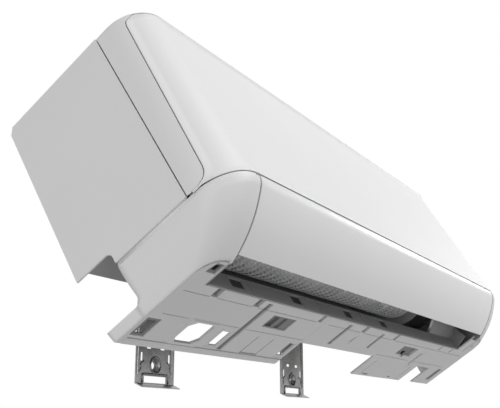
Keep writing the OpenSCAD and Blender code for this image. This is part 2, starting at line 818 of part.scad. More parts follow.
module plan_boxes(shares) {
  for (s = shares) translate([-half_w + s[0] * unit_w, s[2] * unit_d])
    square([(s[1] - s[0]) * unit_w, (s[3] - s[2]) * unit_d]);
}
module lip_slots() {
  for (s = slot_shares) translate([-half_w + s[0] * unit_w, lip_y - over])
    square([(s[1] - s[0]) * unit_w, slot_d + over]);
}
module creases() {
  for (share = [crease_front_share, crease_back_share])
    translate([-half_w + side_inset * 2, share * unit_d - crease_w / 2])
      square([unit_w - side_inset * 4, crease_w]);
}
module left_plan() {
  intersection() {
    bottom_plan();
    translate([-half_w, 0]) square([half_w + cover_split - cover_gap / 2, unit_d]);
  }
}
module right_plan() {
  difference() {
    intersection() {
      bottom_plan();
      translate([cover_split + cover_gap / 2, 0]) square([half_w - cover_split, unit_d]);
    }
    translate([cover_split - over, cover_step_y]) square([cover_step_x - cover_split + over, unit_d]);
    translate([tab_end_x, cut_y + cut_r]) square([cut_end_x - tab_end_x, unit_d]);
    translate([tab_end_x + cut_r, cut_y]) square([cut_end_x - tab_end_x - 2 * cut_r, unit_d]);
    for (x = [tab_end_x + cut_r, cut_end_x - cut_r]) translate([x, cut_y + cut_r]) circle(r = cut_r);
  }
}
module cover(holes, grooves, pockets) {
  difference() {
    linear_extrude(bottom_t) difference() {
      children();
      plan_boxes(holes);
      lip_slots();
    }
    translate([0, 0, -over]) linear_extrude(over + crease_deep) creases();
    translate([0, 0, -over]) linear_extrude(over + pocket_deep) {
      plan_boxes(grooves);
      plan_boxes(pockets);
    }
  }
}
module bottom_cover_left() {
  color([0.7, 0.7, 0.7]) hung() cover(hole_shares, groove_shares, pocket_shares) left_plan();
}
module bottom_cover_right() {
  color([0.7, 0.7, 0.7]) hung()
    cover(right_hole_shares, right_groove_shares, right_pocket_shares) right_plan();
}

// Drain pan under the front of the heat exchanger, with its end walls and its hanging boss
pan_left = coil_left - pan_t - pan_t;
pan_right = coil_right + pan_t + pan_t;
module pan_outline() {
  polygon([
    [pan_y, pan_z], [pan_back, pan_z], [pan_back, pan_z + pan_back_h],
    [pan_back - pan_t, pan_z + pan_back_h], [pan_back - pan_t, pan_z + pan_t],
    [pan_y + pan_t, pan_z + pan_t], [pan_y + pan_t, pan_z + pan_front_h], [pan_y, pan_z + pan_front_h]
  ]);
}
module pan_end_outline() {
  translate([pan_y, pan_z]) square([pan_back - pan_y, pan_end_h]);
}
module drain_pan() {
  color([0.85, 0.86, 0.87]) hung() difference() {
    union() {
      along_x(pan_left, pan_right) pan_outline();
      along_x(pan_left, pan_left + pan_t) pan_end_outline();
      along_x(pan_right - pan_t, pan_right) pan_end_outline();
      for (x = pan_seat_xs) block([x - pan_seat_w / 2, front_coil_y, pan_z + pan_t / 2],
        [x + pan_seat_w / 2, front_coil_y + coil_t, front_coil_low - seat_gap]);
    }
    screw_shanks();
    bar_x(pan_right - pan_t - over, pan_right + over, spout_y, spout_z, spout_bore_r);
  }
}
// Screws that hold the lower casing's rail to the drain pan
screw_r = 1.5;
screw_head_r = 3.5;
screw_head_h = 2;
screw_up = 10;
screw_z = pan_z + screw_up;
screw_shares = [0.1021, 0.4324, 0.7628, 0.958];
screw_xs = [for (s = screw_shares) coil_left + s * (coil_right - coil_left)];
module screw_shanks() {
  for (x = screw_xs) translate([x, rail_y, screw_z]) rotate([-90, 0, 0])
    cylinder(h = pan_y + pan_t - rail_y, r = screw_r);
}
module casing_screws() {
  color([0.6, 0.6, 0.62]) hung() {
    screw_shanks();
    for (x = screw_xs) translate([x, rail_y - screw_head_h, screw_z]) rotate([-90, 0, 0])
      cylinder(h = screw_head_h, r = screw_head_r);
  }
}
// Spout in the pan's right end
spout_len = 22;
spout_bore_r = 4.5;
spout_t = 1.5;
spout_in = 12;
spout_y = pan_back - spout_in;
spout_z = pan_z + pan_t + spout_bore_r;
module drain_spout() {
  color([0.85, 0.86, 0.87]) hung() difference() {
    bar_x(pan_right, pan_right + spout_len, spout_y, spout_z, spout_bore_r + spout_t);
    bar_x(pan_right - over, pan_right + spout_len + over, spout_y, spout_z, spout_bore_r);
  }
}

// Fin packs and tubes of the heat exchanger
function slab_angle(a, b) = atan2(b[1] - a[1], b[0] - a[0]);
module slab_outline(a, b) {
  translate(a) rotate(slab_angle(a, b)) translate([0, -coil_t / 2]) square([norm(b - a), coil_t]);
}
front_coil_a = [front_coil_y + coil_t / 2, front_coil_low];
front_coil_b = [front_coil_y + coil_t / 2, front_coil_top];
coil_ends = [[front_coil_a, front_coil_b], [upper_coil_a, upper_coil_b], [rear_coil_a, rear_coil_b]];
module fin_pack(ends) {
  fin_in = end_plate_t;
  along_x(coil_left + fin_in, coil_right - fin_in) slab_outline(ends[0], ends[1]);
}
module coil_front() { color([0.75, 0.77, 0.78]) hung() fin_pack(coil_ends[0]); }
module coil_upper() { color([0.75, 0.77, 0.78]) hung() fin_pack(coil_ends[1]); }
module coil_rear() { color([0.75, 0.77, 0.78]) hung() fin_pack(coil_ends[2]); }
// Corner of a slab: its end, and its side counted as -1 or 1
function slab_corner(ends, end, side) =
  let (u = (ends[1] - ends[0]) / norm(ends[1] - ends[0])) ends[end] + side * coil_t / 2 * [-u[1], u[0]];
module end_plate_outline() {
  for (ends = coil_ends) slab_outline(ends[0], ends[1]);
  polygon([slab_corner(coil_ends[0], 1, 1), slab_corner(coil_ends[0], 1, -1),
    slab_corner(coil_ends[1], 0, -1), slab_corner(coil_ends[1], 0, 1)]);
  polygon([slab_corner(coil_ends[1], 1, 1), slab_corner(coil_ends[1], 1, -1),
    slab_corner(coil_ends[2], 1, 1), slab_corner(coil_ends[2], 1, -1)]);
}
module coil_end_plates() {
  color([0.6, 0.62, 0.63]) hung()
    for (x = [coil_left, coil_right - end_plate_t]) along_x(x, x + end_plate_t) end_plate_outline();
}
// Return bend standing on an end plate, between two tubes along the slab
module bend(x, side, ends, along) {
  u = (ends[1] - ends[0]) / norm(ends[1] - ends[0]);
  p = ends[0] + u * along;
  translate([x, p[0], p[1]]) rotate([slab_angle(ends[0], ends[1]), 0, 0])
    rotate([0, 0, side > 0 ? -90 : 90]) rotate_extrude(angle = 180)
      translate([tube_pitch / 2, 0]) circle(r = coil_tube_r);
}
// The lowest pair of tubes at the rear right leads to the pipes and has no bend
module coil_bends() {
  color([0.72, 0.45, 0.28]) hung() for (ends = coil_ends) {
    n = floor(norm(ends[1] - ends[0]) / tube_pitch / 2);
    first_right = ends == coil_ends[2] ? 1 : 0;
    for (i = [0:n-1]) bend(coil_left, -1, ends, tube_pitch * (2 * i + 1));
    for (i = [first_right:n-1]) bend(coil_right, 1, ends, tube_pitch * (2 * i + 1));
  }
}

// Pipes from the heat exchanger's right end down into the channel and along it to the left
rear_u = (rear_coil_b - rear_coil_a) / norm(rear_coil_b - rear_coil_a);
liquid_ahead = 5.78;
liquid_up = 21.06;
gas_yz = rear_coil_a + rear_u * tube_pitch / 2;
liquid_yz = gas_yz + [-liquid_ahead, liquid_up];
gas_pipe_x = motor_left + motor_len + pipe_room;
liquid_pipe_x = gas_pipe_x + gas_pipe_r + liquid_pipe_r + pipe_gap;
gas_end_x = gas_pipe_x - gas_run;
liquid_end_x = gas_end_x - union_step;
module quarter(r) {
  rotate_extrude(angle = 90) translate([elbow_r, 0]) circle(r = r);
}
// Sockets where the drop of a pipe meets its bends
collar_len = 8;
collar_t = 0.8;
module pipe_run(r, yz, x, z, end_x) {
  top = yz[1];
  bar_x(coil_right, x - elbow_r, yz[0], top, r);
  translate([x - elbow_r, yz[0], top - elbow_r]) rotate([90, 0, 0]) quarter(r);
  translate([x, yz[0], z + elbow_r]) cylinder(h = top - z - 2 * elbow_r, r = r);
  for (z0 = [z + elbow_r, top - elbow_r]) translate([x, yz[0], z0 - collar_len / 2])
    cylinder(h = collar_len, r = r + collar_t);
  translate([x - elbow_r, yz[0], z + elbow_r]) rotate([90, 0, 0]) rotate([0, 0, -90]) quarter(r);
  bar_x(end_x, x - elbow_r, yz[0], z, r);
}
module gas_pipe() {
  color([0.75, 0.48, 0.3]) hung() pipe_run(gas_pipe_r, gas_yz, gas_pipe_x, gas_z, gas_end_x);
}
module liquid_pipe() {
  color([0.75, 0.48, 0.3]) hung()
    pipe_run(liquid_pipe_r, liquid_yz, liquid_pipe_x, liquid_z, liquid_end_x);
}
// Flare nut on the end of a pipe, with its hexagon, its threaded mouth and its neck
module flare_nut(r, thread_r, hex_r, x, y, z) {
  difference() {
    union() {
      translate([x - nut_mouth, y, z]) rotate([0, 90, 0]) cylinder(h = nut_len, r = hex_r, $fn = 6);
      bar_x(x - nut_mouth + nut_len, x - nut_mouth + nut_len + nut_neck, y, z, thread_r);
    }
    bar_x(x - nut_mouth - over, x, y, z, thread_r);
    bar_x(x - over, x + nut_len, y, z, r + run_gap);
  }
}
module gas_flare_nut() {
  color([0.8, 0.65, 0.3]) hung()
    flare_nut(gas_pipe_r, gas_thread_r, gas_hex_r, gas_end_x, gas_yz[0], gas_z);
}
module liquid_flare_nut() {
  color([0.8, 0.65, 0.3]) hung()
    flare_nut(liquid_pipe_r, liquid_thread_r, liquid_hex_r, liquid_end_x, liquid_yz[0], liquid_z);
}

// Fan with its segments, discs and blades
disc_t = 2;
blade_in_share = 0.74;
hole_share = 0.68;
blade_t = 1.2;
blade_turn = 16;
blade_sag = 1.6;
blade_in = 0.4;
module blade_outline() {
  a = [fan_r * blade_in_share, 0];
  b = (fan_r - blade_in) * [cos(blade_turn), sin(blade_turn)];
  mid = (a + b) / 2 + [blade_sag, -blade_sag];
  inner = mid + blade_t * cos(45) * [-1, 1];
  polygon([a, mid, b, b + [-blade_in, blade_t], inner, a + [0, blade_t]]);
}
module cross_flow_fan() {
  seg = (fan_len - disc_t) / fan_segments;
  color([0.35, 0.36, 0.38]) hung() {
    for (i = [0:fan_segments]) let (x = fan_left + seg * i) along_x(x, x + disc_t)
      translate([fan_y, fan_z]) difference() {
        circle(r = fan_r);
        circle(r = (i == 0 || i == fan_segments) ? shaft_r : fan_r * hole_share);
      }
    for (i = [0:fan_segments-1]) let (x = fan_left + seg * i)
      along_x(x + disc_t / 2, x + seg + disc_t / 2) translate([fan_y, fan_z])
        for (k = [0:fan_blades-1]) rotate(360 / fan_blades * (k + (i % 2) / 2)) blade_outline();
    difference() {
      bar_x(fan_right - disc_t / 2, fan_right + hub_len, fan_y, fan_z, boss_r);
      bar_x(fan_right - disc_t - over, fan_right + hub_len + over, fan_y, fan_z, shaft_r);
    }
  }
}
module fan_shafts() {
  color([0.7, 0.7, 0.72]) hung() {
    bar_x(duct_left - shell_t - bush_len / 2, fan_left + disc_t, fan_y, fan_z, shaft_r);
    bar_x(fan_right - disc_t, motor_left + motor_len / 2, fan_y, fan_z, shaft_r);
  }
}
module fan_bush() {
  x0 = duct_left - shell_t - bush_len / 2;
  color([0.15, 0.15, 0.15]) hung() difference() {
    union() {
      bar_x(x0, duct_left, fan_y, fan_z, bush_out_r);
      bar_x(x0, duct_left - shell_t, fan_y, fan_z, bush_out_r + shell_t);
    }
    bar_x(x0 - over, duct_left + over, fan_y, fan_z, shaft_r + run_gap);
  }
}
module fan_motor() {
  color([0.55, 0.56, 0.58]) hung() difference() {
    union() {
      bar_x(motor_left + motor_boss_len, motor_left + motor_len, fan_y, fan_z, motor_r);
      bar_x(motor_left, motor_left + motor_boss_len, fan_y, fan_z, boss_r);
    }
    bar_x(motor_left - over, motor_left + motor_len / 2 + over, fan_y, fan_z, shaft_r + run_gap);
  }
}
module motor_bracket() {
  inner = motor_r + seat_gap;
  color([0.8, 0.81, 0.82]) hung() for (x = [motor_left + band_in, motor_left + motor_len - band_in])
    along_x(x - band_w / 2, x + band_w / 2) difference() {
      union() {
        translate([fan_y, fan_z]) circle(r = inner + shell_t);
        translate([fan_y, fan_z - shell_t]) square([back_wall_y - fan_y, 2 * shell_t]);
      }
      translate([fan_y, fan_z]) circle(r = inner);
    }
}

// Control box with what it holds
box_left = liquid_pipe_x + liquid_pipe_r + box_room;
module control_box() {
  color([0.82, 0.82, 0.8]) hung() difference() {
    block([box_left, box_y, box_z], [box_right, box_back, box_top]);
    block([box_left + box_t, box_y - over, box_z + box_t],
      [box_right - box_t, box_back - box_t, box_top - box_t]);
  }
}
module control_box_cover() {
  color([0.82, 0.82, 0.8]) hung() difference() {
    block([box_left, box_y - box_t, box_z], [box_right, box_y, box_top]);
    translate([button_x, box_y - box_t - over, button_z]) rotate([-90, 0, 0])
      cylinder(h = box_t + 2 * over, r = button_r + button_gap);
  }
}
board_t = 1.6;
board_in = 52;
board_y = box_y + board_in;
// Components: place as shares of the board, then width and height off the board
component_shares = [[0.2, 0.3], [0.55, 0.45], [0.3, 0.7], [0.7, 0.75]];
component_sizes = [[18, 14], [26, 20], [30, 12], [14, 22]];
module circuit_board() {
  x0 = box_left + box_t + seat_gap;
  x1 = box_right - box_t - seat_gap;
  color([0.2, 0.4, 0.25]) hung() {
    block([x0, board_y, box_z + box_t + seat_gap], [x1, board_y + board_t, box_top - box_t - seat_gap]);
    for (i = [0:len(component_shares)-1]) let (s = component_shares[i], c = component_sizes[i])
      translate([x0 + s[0] * (x1 - x0) - c[0] / 2, board_y - c[1], box_z + s[1] * (box_top - box_z)])
        cube([c[0], c[1], c[0]]);
  }
}
terminal_pitch = 9;
terminals = 5;
terminal_in = 6;
terminal_in_y = 12;
terminal_y = box_y + terminal_in_y;
terminal_d = 20;
terminal_h = 16;
terminal_hole_r = 2.2;
terminal_mid_share = 0.5;
module terminal_block() {
  x0 = box_left + box_t + terminal_in;
  z0 = box_z + box_t;
  color([0.3, 0.3, 0.32]) hung() difference() {
    block([x0, terminal_y, z0], [x0 + terminal_pitch * terminals, terminal_y + terminal_d, z0 + terminal_h]);
    for (i = [1:terminals])
      translate([x0 + terminal_pitch * (i - terminal_mid_share), terminal_y + terminal_d / 2, z0])
        translate([0, 0, terminal_h / 2]) cylinder(h = terminal_h, r = terminal_hole_r);
  }
}

// Display on posts before the control box, its window inside the face, and the button beside it
display_w = 50;
display_h = 30;
display_t = 1.6;
display_gap = 6;
display_x = half_w - corner_r - display_w;
display_z = 150;
display_y = box_y - box_t - display_gap;
post_r = 2;
post_in = 5;
window_edge = 5;
window_d = 4;
window_z = display_z + window_edge;
button_r = 4;
button_out = 4.5;
button_in = 2.5;
button_gap = 0.1;
button_flange_r = 5.5;
button_flange_t = 1;
button_past = 12;
button_x = display_x + display_w + button_past;
button_z = display_z + display_h / 2;
module display_board() {
  color([0.2, 0.4, 0.25]) hung() {
    block([display_x, display_y, display_z],
      [display_x + display_w, display_y + display_t, display_z + display_h]);
    for (x = [box_left + post_in, display_x + display_w - post_in])
      translate([x, display_y + display_t, button_z]) rotate([-90, 0, 0])
        cylinder(h = display_gap - display_t, r = post_r);
  }
}
module display_window() {
  y = panel_t - lean_at(window_z);
  color([0.3, 0.3, 0.32]) hung() block([display_x + window_edge, y, window_z],
    [display_x + display_w - window_edge, y + window_d, display_z + display_h - window_edge]);
}
module emergency_button() {
  color([0.6, 0.6, 0.6]) hung() translate([button_x, box_y, button_z]) rotate([-90, 0, 0]) {
    translate([0, 0, -box_t - button_out]) cylinder(h = box_t + button_out + button_in, r = button_r);
    translate([0, 0, seat_gap]) cylinder(h = button_flange_t, r = button_flange_r);
  }
}
sensor_r = 2.5;
sensor_len = 16;
sensor_up = 84;
sensor_z = front_coil_low + sensor_up;
module room_sensor() {
  color([0.1, 0.1, 0.1]) hung()
    bar_x(coil_right, coil_right + sensor_len, front_coil_y + coil_t / 2, sensor_z, sensor_r);
}

// Vane
module vane_skin() {
  s = [for (i = [0:vane_steps]) vane_from_turn + (vane_to_turn - vane_from_turn) * i / vane_steps];
  n = vane_steps;
  color([0.9, 0.9, 0.9]) hung() along_x(-vane_half, vane_half)
    polygon(concat([for (a = s) profile(a)], [for (i = [n:-1:0]) profile(s[i], vane_t)]));
}
function liner_in(a) = vane_t + liner_t + liner_bulge * sin(180 * (a - vane_from_turn) / (vane_to_turn - vane_from_turn));
module vane_liner() {
  s = [for (i = [0:vane_steps]) vane_from_turn + (vane_to_turn - vane_from_turn) * i / vane_steps];
  n = vane_steps;
  color([0.8, 0.8, 0.8]) hung() {
    along_x(-vane_half, vane_half)
      polygon(concat([for (a = s) profile(a, vane_t)], [for (i = [n:-1:0]) profile(s[i], liner_in(s[i]))]));
    for (x = [-vane_half, vane_half - arm_t]) along_x(x, x + arm_t) arm_outline();
    for (side = [-1, 1]) translate([side * (hanger_t / 2 + seat_gap + arm_t / 2) - arm_t / 2, 0, 0])
      along_x(0, arm_t) arm_outline();
  }
}
module arm_outline() {
  difference() {
    union() {
      translate([pivot_y, pivot_z]) circle(r = arm_r);
      polygon([profile(arm_from_turn, liner_in(arm_from_turn) - liner_t), profile(arm_to_turn, liner_in(arm_to_turn) - liner_t),
        [pivot_y + arm_r / 2, pivot_z - arm_r / 2], [pivot_y - arm_r / 2, pivot_z + arm_r / 2]]);
    }
    translate([pivot_y, pivot_z]) circle(r = vane_pin_r);
  }
}
module vane_pins() {
  reach = bay_half + shell_t + vane_motor_bore;
  mid = hanger_t / 2 + seat_gap + arm_t;
  color([0.6, 0.6, 0.62]) hung() {
    bar_x(-reach, -vane_half + arm_t, pivot_y, pivot_z, vane_pin_r);
    bar_x(vane_half - arm_t, reach, pivot_y, pivot_z, vane_pin_r);
    bar_x(-mid, mid, pivot_y, pivot_z, vane_pin_r);
  }
}
module vane_bushes() {
  color([0.3, 0.3, 0.3]) hung() for (side = [-1, 1]) mirror([side > 0 ? 0 : 1, 0, 0]) difference() {
    union() {
      bar_x(bay_half, bay_half + shell_t, pivot_y, pivot_z, bush_r);
      bar_x(bay_half + shell_t, bay_half + shell_t + flange_t, pivot_y, pivot_z, bush_r + flange_t);
    }
    bar_x(0, half_w, pivot_y, pivot_z, vane_pin_r + run_gap);
  }
}
module vane_hanger() {
  color([0.8, 0.81, 0.82]) hung() along_x(-hanger_t / 2, hanger_t / 2) difference() {
    union() {
      translate([pivot_y, pivot_z]) circle(r = arm_r);
      translate([pivot_y - arm_r, pivot_z]) square([2 * arm_r, pan_z - pivot_z]);
    }
    translate([pivot_y, pivot_z]) circle(r = vane_pin_r + run_gap);
  }
}
module vane_motor() {
  x0 = bay_half + shell_t + flange_t;
  color([0.75, 0.75, 0.72]) hung() difference() {
    bar_x(x0, x0 + vane_motor_len, pivot_y, pivot_z, vane_motor_r);
    bar_x(x0 - over, x0 + vane_motor_bore, pivot_y, pivot_z, vane_pin_r + run_gap);
  }
}

// Sideways louvers
module louver_rail() {
  x1 = crank_x + rail_d / 2;
  color([0.8, 0.81, 0.82]) hung() difference() {
    block([louver_first - rail_d / 2, louver_y - rail_d / 2, pan_z - rail_t],
      [x1, louver_y + rail_d / 2, pan_z]);
    for (i = [0:LOUVERS-1]) translate([louver_first + louver_pitch * i, louver_y, pan_z - rail_t - over])
      cylinder(h = rail_t + over, r = louver_pin_r + run_gap);
    translate([crank_x, louver_y, pan_z - rail_t - over])
      cylinder(h = rail_t + 2 * over, r = louver_pin_r + run_gap);
  }
}
module louver(i) {
  low = louver_top - louver_h;
  color([0.5, 0.51, 0.53]) hung() translate([louver_first + louver_pitch * i, louver_y, 0]) {
    along_x(-louver_t / 2, louver_t / 2) polygon([
      [-louver_front, louver_top], [louver_back, louver_top],
      [louver_back, louver_top - louver_h * louver_cut_share], [louver_back * louver_cut_share, low],
      [-louver_front, low]
    ]);
    translate([0, 0, louver_top - pin_root]) cylinder(h = louver_pin_h + pin_root, r = louver_pin_r);
    link_pin();
  }
}
module link_pin() {
  translate([0, link_arm, louver_top - pin_root])
    cylinder(h = pin_root + link_gap + link_t, r = link_pin_r);
}
module louver_1() { louver(0); }
module louver_2() { louver(1); }
module louver_3() { louver(2); }
module louver_4() { louver(3); }
module louver_5() { louver(4); }
module louver_6() { louver(5); }
module louver_7() { louver(6); }
module louver_8() { louver(7); }
module louver_9() { louver(8); }
module louver_10() { louver(9); }
module louver_crank() {
  color([0.5, 0.51, 0.53]) hung() translate([crank_x, louver_y, 0]) {
    translate([0, 0, louver_top - pin_root])
      cylinder(h = pan_z - louver_top + pin_root + crank_shaft_h, r = louver_pin_r);
    translate([-crank_w / 2, -crank_w / 2, louver_top - crank_t])
      cube([crank_w, link_arm + crank_w, crank_t]);
    link_pin();
  }
}
link_places = concat([for (i = [0:LOUVERS-1]) louver_first + louver_pitch * i], [crank_x]);
module louver_link() {
  y = louver_y + link_arm;
  z = louver_top + link_gap;
  color([0.45, 0.46, 0.48]) hung() difference() {
    block([louver_first - link_w, y - link_w / 2 - link_dip / 2, z],
      [crank_x + link_w, y + link_w / 2, z + link_t]);
    for (x = link_places) translate([x, y, z - over]) linear_extrude(link_t + 2 * over) {
      circle(r = link_pin_r + link_slot_x);
      translate([0, -link_dip]) circle(r = link_pin_r + link_slot_x);
      translate([-link_pin_r - link_slot_x, -link_dip]) square([2 * (link_pin_r + link_slot_x), link_dip]);
    }
  }
}
module louver_motor() {
  color([0.75, 0.75, 0.72]) hung() difference() {
    translate([crank_x, louver_y, pan_z]) cylinder(h = louver_motor_h, r = louver_motor_r);
    translate([crank_x, louver_y, pan_z - over])
      cylinder(h = louver_motor_bore + over, r = louver_pin_r + run_gap);
  }
}

// Front panel
module face_plate() {
  color([0.93, 0.93, 0.93]) hung() leant(panel_low, roll_z - seat_gap) intersection() {
    difference() {
      panel_plan(0, panel_tail);
      panel_plan(panel_t, panel_tail + over);
    }
    front_wedge(face_turn);
  }
}
// Roll along the panel's top rear edge, without the quarter that the top strip fills
roll_steps = 18;
module roll_outline() {
  polygon(concat([[0, 0]], [for (i = [0:roll_steps]) let (a = 90 - 270 * i / roll_steps)
    roll_r * [cos(a), sin(a)]]));
}
module panel_shell() {
  difference() {
    intersection() {
      leant(panel_low, unit_h) panel_plan(0, panel_tail);
      block([-unit_w, -corner_r, 0], [unit_w, seam_y, unit_h]);
    }
    leant(panel_low - over, roll_z) {
      panel_plan(panel_t, panel_tail + over);
      front_wedge(face_turn - side_turn_gap);
    }
    block([-half_w + panel_t, roll_y, roll_z - over], [half_w - panel_t, seam_y + over, unit_h + over]);
    difference() {
      block([-half_w - over, roll_y, roll_z], [half_w + over, seam_y + over, unit_h + over]);
      bar_x(-unit_w, unit_w, roll_y, roll_z, roll_r + roll_in);
    }
  }
}
module panel_frame() {
  color([0.9, 0.9, 0.9]) hung() difference() {
    union() {
      panel_shell();
      along_x(-half_w + panel_t - over, half_w - panel_t + over)
        translate([roll_y, roll_z]) roll_outline();
    }
    for (side = [-1, 1]) {
      block([side * ear_x - ear_w / 2 - ear_gap, roll_y - roll_r - ear_gap, roll_z - roll_r - over],
        [side * ear_x + ear_w / 2 + ear_gap, seam_y + over, unit_h + over]);
      bar_x(side * ear_x - pin_len / 2, side * ear_x + pin_len / 2, roll_y, roll_z, hinge_pin_r);
    }
  }
}
module panel_hinge_pins() {
  color([0.6, 0.6, 0.62]) hung() for (side = [-1, 1])
    bar_x(side * ear_x - pin_len / 2, side * ear_x + pin_len / 2, roll_y, roll_z, hinge_pin_r);
}
mounting_plate();
base_frame();
hang_bars();
upper_casing();
top_grille();
lower_casing();
bottom_cover_left();
bottom_cover_right();
drain_pan();
coil_front();
coil_upper();
coil_rear();
coil_bends();
coil_end_plates();
gas_pipe();
liquid_pipe();
gas_flare_nut();
liquid_flare_nut();
drain_spout();
fan_motor();
motor_bracket();
fan_bush();
cross_flow_fan();
fan_shafts();
control_box();
control_box_cover();
circuit_board();
terminal_block();
display_board();
display_window();
emergency_button();
room_sensor();
vane_skin();
vane_liner();
vane_pins();
vane_bushes();
vane_hanger();
vane_motor();
louver_rail();
louver_link();
louver_crank();
louver_motor();
louver_1();
louver_2();
louver_3();
louver_4();
louver_5();
louver_6();
louver_7();
louver_8();
louver_9();
louver_10();
face_plate();
panel_frame();
panel_hinge_pins();
filter_left();
filter_right();
filter_mesh_left();
filter_mesh_right();
casing_screws();
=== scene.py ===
"""Looks of a mini split indoor unit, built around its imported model.

Lengths are in millimetres in the upright unit's own frame, X to the right, Y from the face to the back
and Z up from the bottom, until hang() tilts them about the hooks and turns them into metres.
"""

import math

import bpy
import numpy as np
from bpy.props import FloatProperty, FloatVectorProperty, IntProperty, PointerProperty
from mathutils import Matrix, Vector


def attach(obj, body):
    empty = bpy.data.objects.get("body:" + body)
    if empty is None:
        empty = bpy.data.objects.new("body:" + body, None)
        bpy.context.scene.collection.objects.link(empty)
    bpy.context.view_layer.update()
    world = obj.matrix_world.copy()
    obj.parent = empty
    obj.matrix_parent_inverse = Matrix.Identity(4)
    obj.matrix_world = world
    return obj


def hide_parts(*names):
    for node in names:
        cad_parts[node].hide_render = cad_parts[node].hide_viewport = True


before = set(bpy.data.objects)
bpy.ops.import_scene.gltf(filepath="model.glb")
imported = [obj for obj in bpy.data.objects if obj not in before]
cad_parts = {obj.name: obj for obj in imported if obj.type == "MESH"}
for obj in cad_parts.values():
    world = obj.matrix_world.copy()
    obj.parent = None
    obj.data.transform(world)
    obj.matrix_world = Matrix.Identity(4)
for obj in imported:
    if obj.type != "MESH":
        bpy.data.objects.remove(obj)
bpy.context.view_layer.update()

bl_info = {
    "name": "Mini Split Indoor Unit",
    "version": (1, 0, 0),
    "blender": (4, 5, 0),
    "location": "View3D > Sidebar > Indoor Unit",
    "description": "Dresses the packed model of a wall hung unit with its panel, vane, casing and finishes",
    "category": "Object",
}


# ---- The body, and where it hangs

HALF_WIDTH, BACK, TOP, SEAM = 455.0, 206.0, 294.0, 56.0
BAY = 403.0  # half width of the vane's bay
MIRROR = np.array([-1.0, 1.0, 1.0])
SWING = math.radians(32.8)
HOOK = np.array([0.0, 196.5, 285.0])
HOOK_ROW = np.array([0.0, -10.0, 75.0])


def hang(points):
    """Row-frame metres of unit-frame millimetres: a turn by the swing about the hook line, then its place."""
    p = np.asarray(points, float) - HOOK
    c, s = math.cos(SWING), math.sin(SWING)
    y = p[..., 1] * c + p[..., 2] * s
    z = -p[..., 1] * s + p[..., 2] * c
    return (np.stack([p[..., 0], y, z], axis=-1) + HOOK_ROW) / 1000.0


# ---- Meshes from arrays

def spread(x, y, z):
    """Grid of points from three arrays that are stretched to one size."""
    return np.stack(np.broadcast_arrays(x, y, np.asarray(z, float)), axis=-1)


def grid_faces(rows, columns, start=0, wrap=False, ring=False):
    """Quads of a grid of rows by columns points, counted row by row: its columns close round if it wraps, and
    its rows if it is a ring."""
    i = np.arange(rows if ring else rows - 1)[:, None]
    j = np.arange(columns if wrap else columns - 1)[None, :]
    n, k = (i + 1) % rows, (j + 1) % columns
    quads = [i * columns + j, i * columns + k, n * columns + k, n * columns + j]
    return np.stack(quads, axis=-1).reshape(-1, 4) + start


def capped(rows, columns):
    """Faces of a tube of rows rings of columns points: its quads, and one face over each end."""
    ends = [list(range(columns))[::-1], [columns * (rows - 1) + i for i in range(columns)]]
    return [list(f) for f in grid_faces(rows, columns, wrap=True)] + ends


def outward(points, faces):
    """The faces, all turned if the volume that they enclose, a sum of corner products, is negative."""
    volume = 0.0
    for size in {len(f) for f in faces}:
        same = points[np.array([f for f in faces if len(f) == size])]
        for k in range(1, size - 1):
            volume += np.einsum("ij,ij->", same[:, 0], np.cross(same[:, k], same[:, k + 1]))
    return faces if volume > 0 else [list(f)[::-1] for f in faces]


def make_object(name, parts, look, body, smooth=True, place=hang):
    """Object from pairs of points and faces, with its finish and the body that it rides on."""
    points, faces = joined(parts)
    mesh = bpy.data.meshes.new(name)
    mesh.from_pydata(place(points).tolist(), [], [list(f) for f in faces])
    mesh.validate()
    mesh.materials.append(finish(look))
    mesh.polygons.foreach_set("use_smooth", np.full(len(mesh.polygons), smooth))
    mesh.update()
    piece = bpy.data.objects.new(name, mesh)
    bpy.context.scene.collection.objects.link(piece)
    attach(piece, body)
    return piece


def shell(points, thickness):
    """Closed wall from a grid of outer points: each point's normal is the cross product of the grid's two
    directions, the inner grid lies the thickness behind it, and the four rims join the two grids."""
    normal = np.cross(np.gradient(points, axis=1), np.gradient(points, axis=0))
    normal /= np.maximum(np.linalg.norm(normal, axis=-1, keepdims=True), 1e-9)
    inner = points - normal * thickness
    rows, columns = points.shape[:2]
    count = rows * columns
    index = np.arange(count).reshape(rows, columns)
    ring = np.concatenate([index[0, :-1], index[:-1, -1], index[-1, :0:-1], index[:0:-1, 0]])
    after = np.roll(ring, -1)
    rim = np.stack([after, ring, ring + count, after + count], axis=-1)
    faces = np.concatenate([grid_faces(rows, columns), grid_faces(rows, columns, count)[:, ::-1], rim])
    return np.concatenate([points.reshape(-1, 3), inner.reshape(-1, 3)]), faces


def joined(parts):
    """One list of points and one of faces from several pairs of them."""
    points, faces, start = [], [], 0
    for p, f in parts:
        points.append(np.asarray(p).reshape(-1, 3))
        faces += [list(np.asarray(q) + start) for q in f]
        start += len(points[-1])
    return np.concatenate(points), faces


def eased(distance, radius):
    """How far a rounded edge of that radius lies inside at a distance from it: r - sqrt(r^2 - (r - d)^2)."""
    left = np.clip(radius - distance, 0, radius)
    return radius - np.sqrt(radius ** 2 - left ** 2)


def smooth_step(t):
    """Smooth rise from 0 to 1: 3 t^2 - 2 t^3 between its ends."""
    t = np.clip(t, 0, 1)
    return t * t * (3 - 2 * t)


def prism(outline, x0, x1):
    """Closed prism between two places along X from an outline in Y and Z, counter-clockwise seen from +X."""
    flat = np.asarray(outline, float)
    count = len(flat)
    ends = [np.column_stack([np.full(count, x), flat]) for x in (x0, x1)]
    i = np.arange(count)
    k = (i + 1) % count
    sides = np.stack([i, k, k + count, i + count], axis=-1)
    return np.concatenate(ends), [list(f) for f in sides] + [list(i[::-1]), list(i + count)]


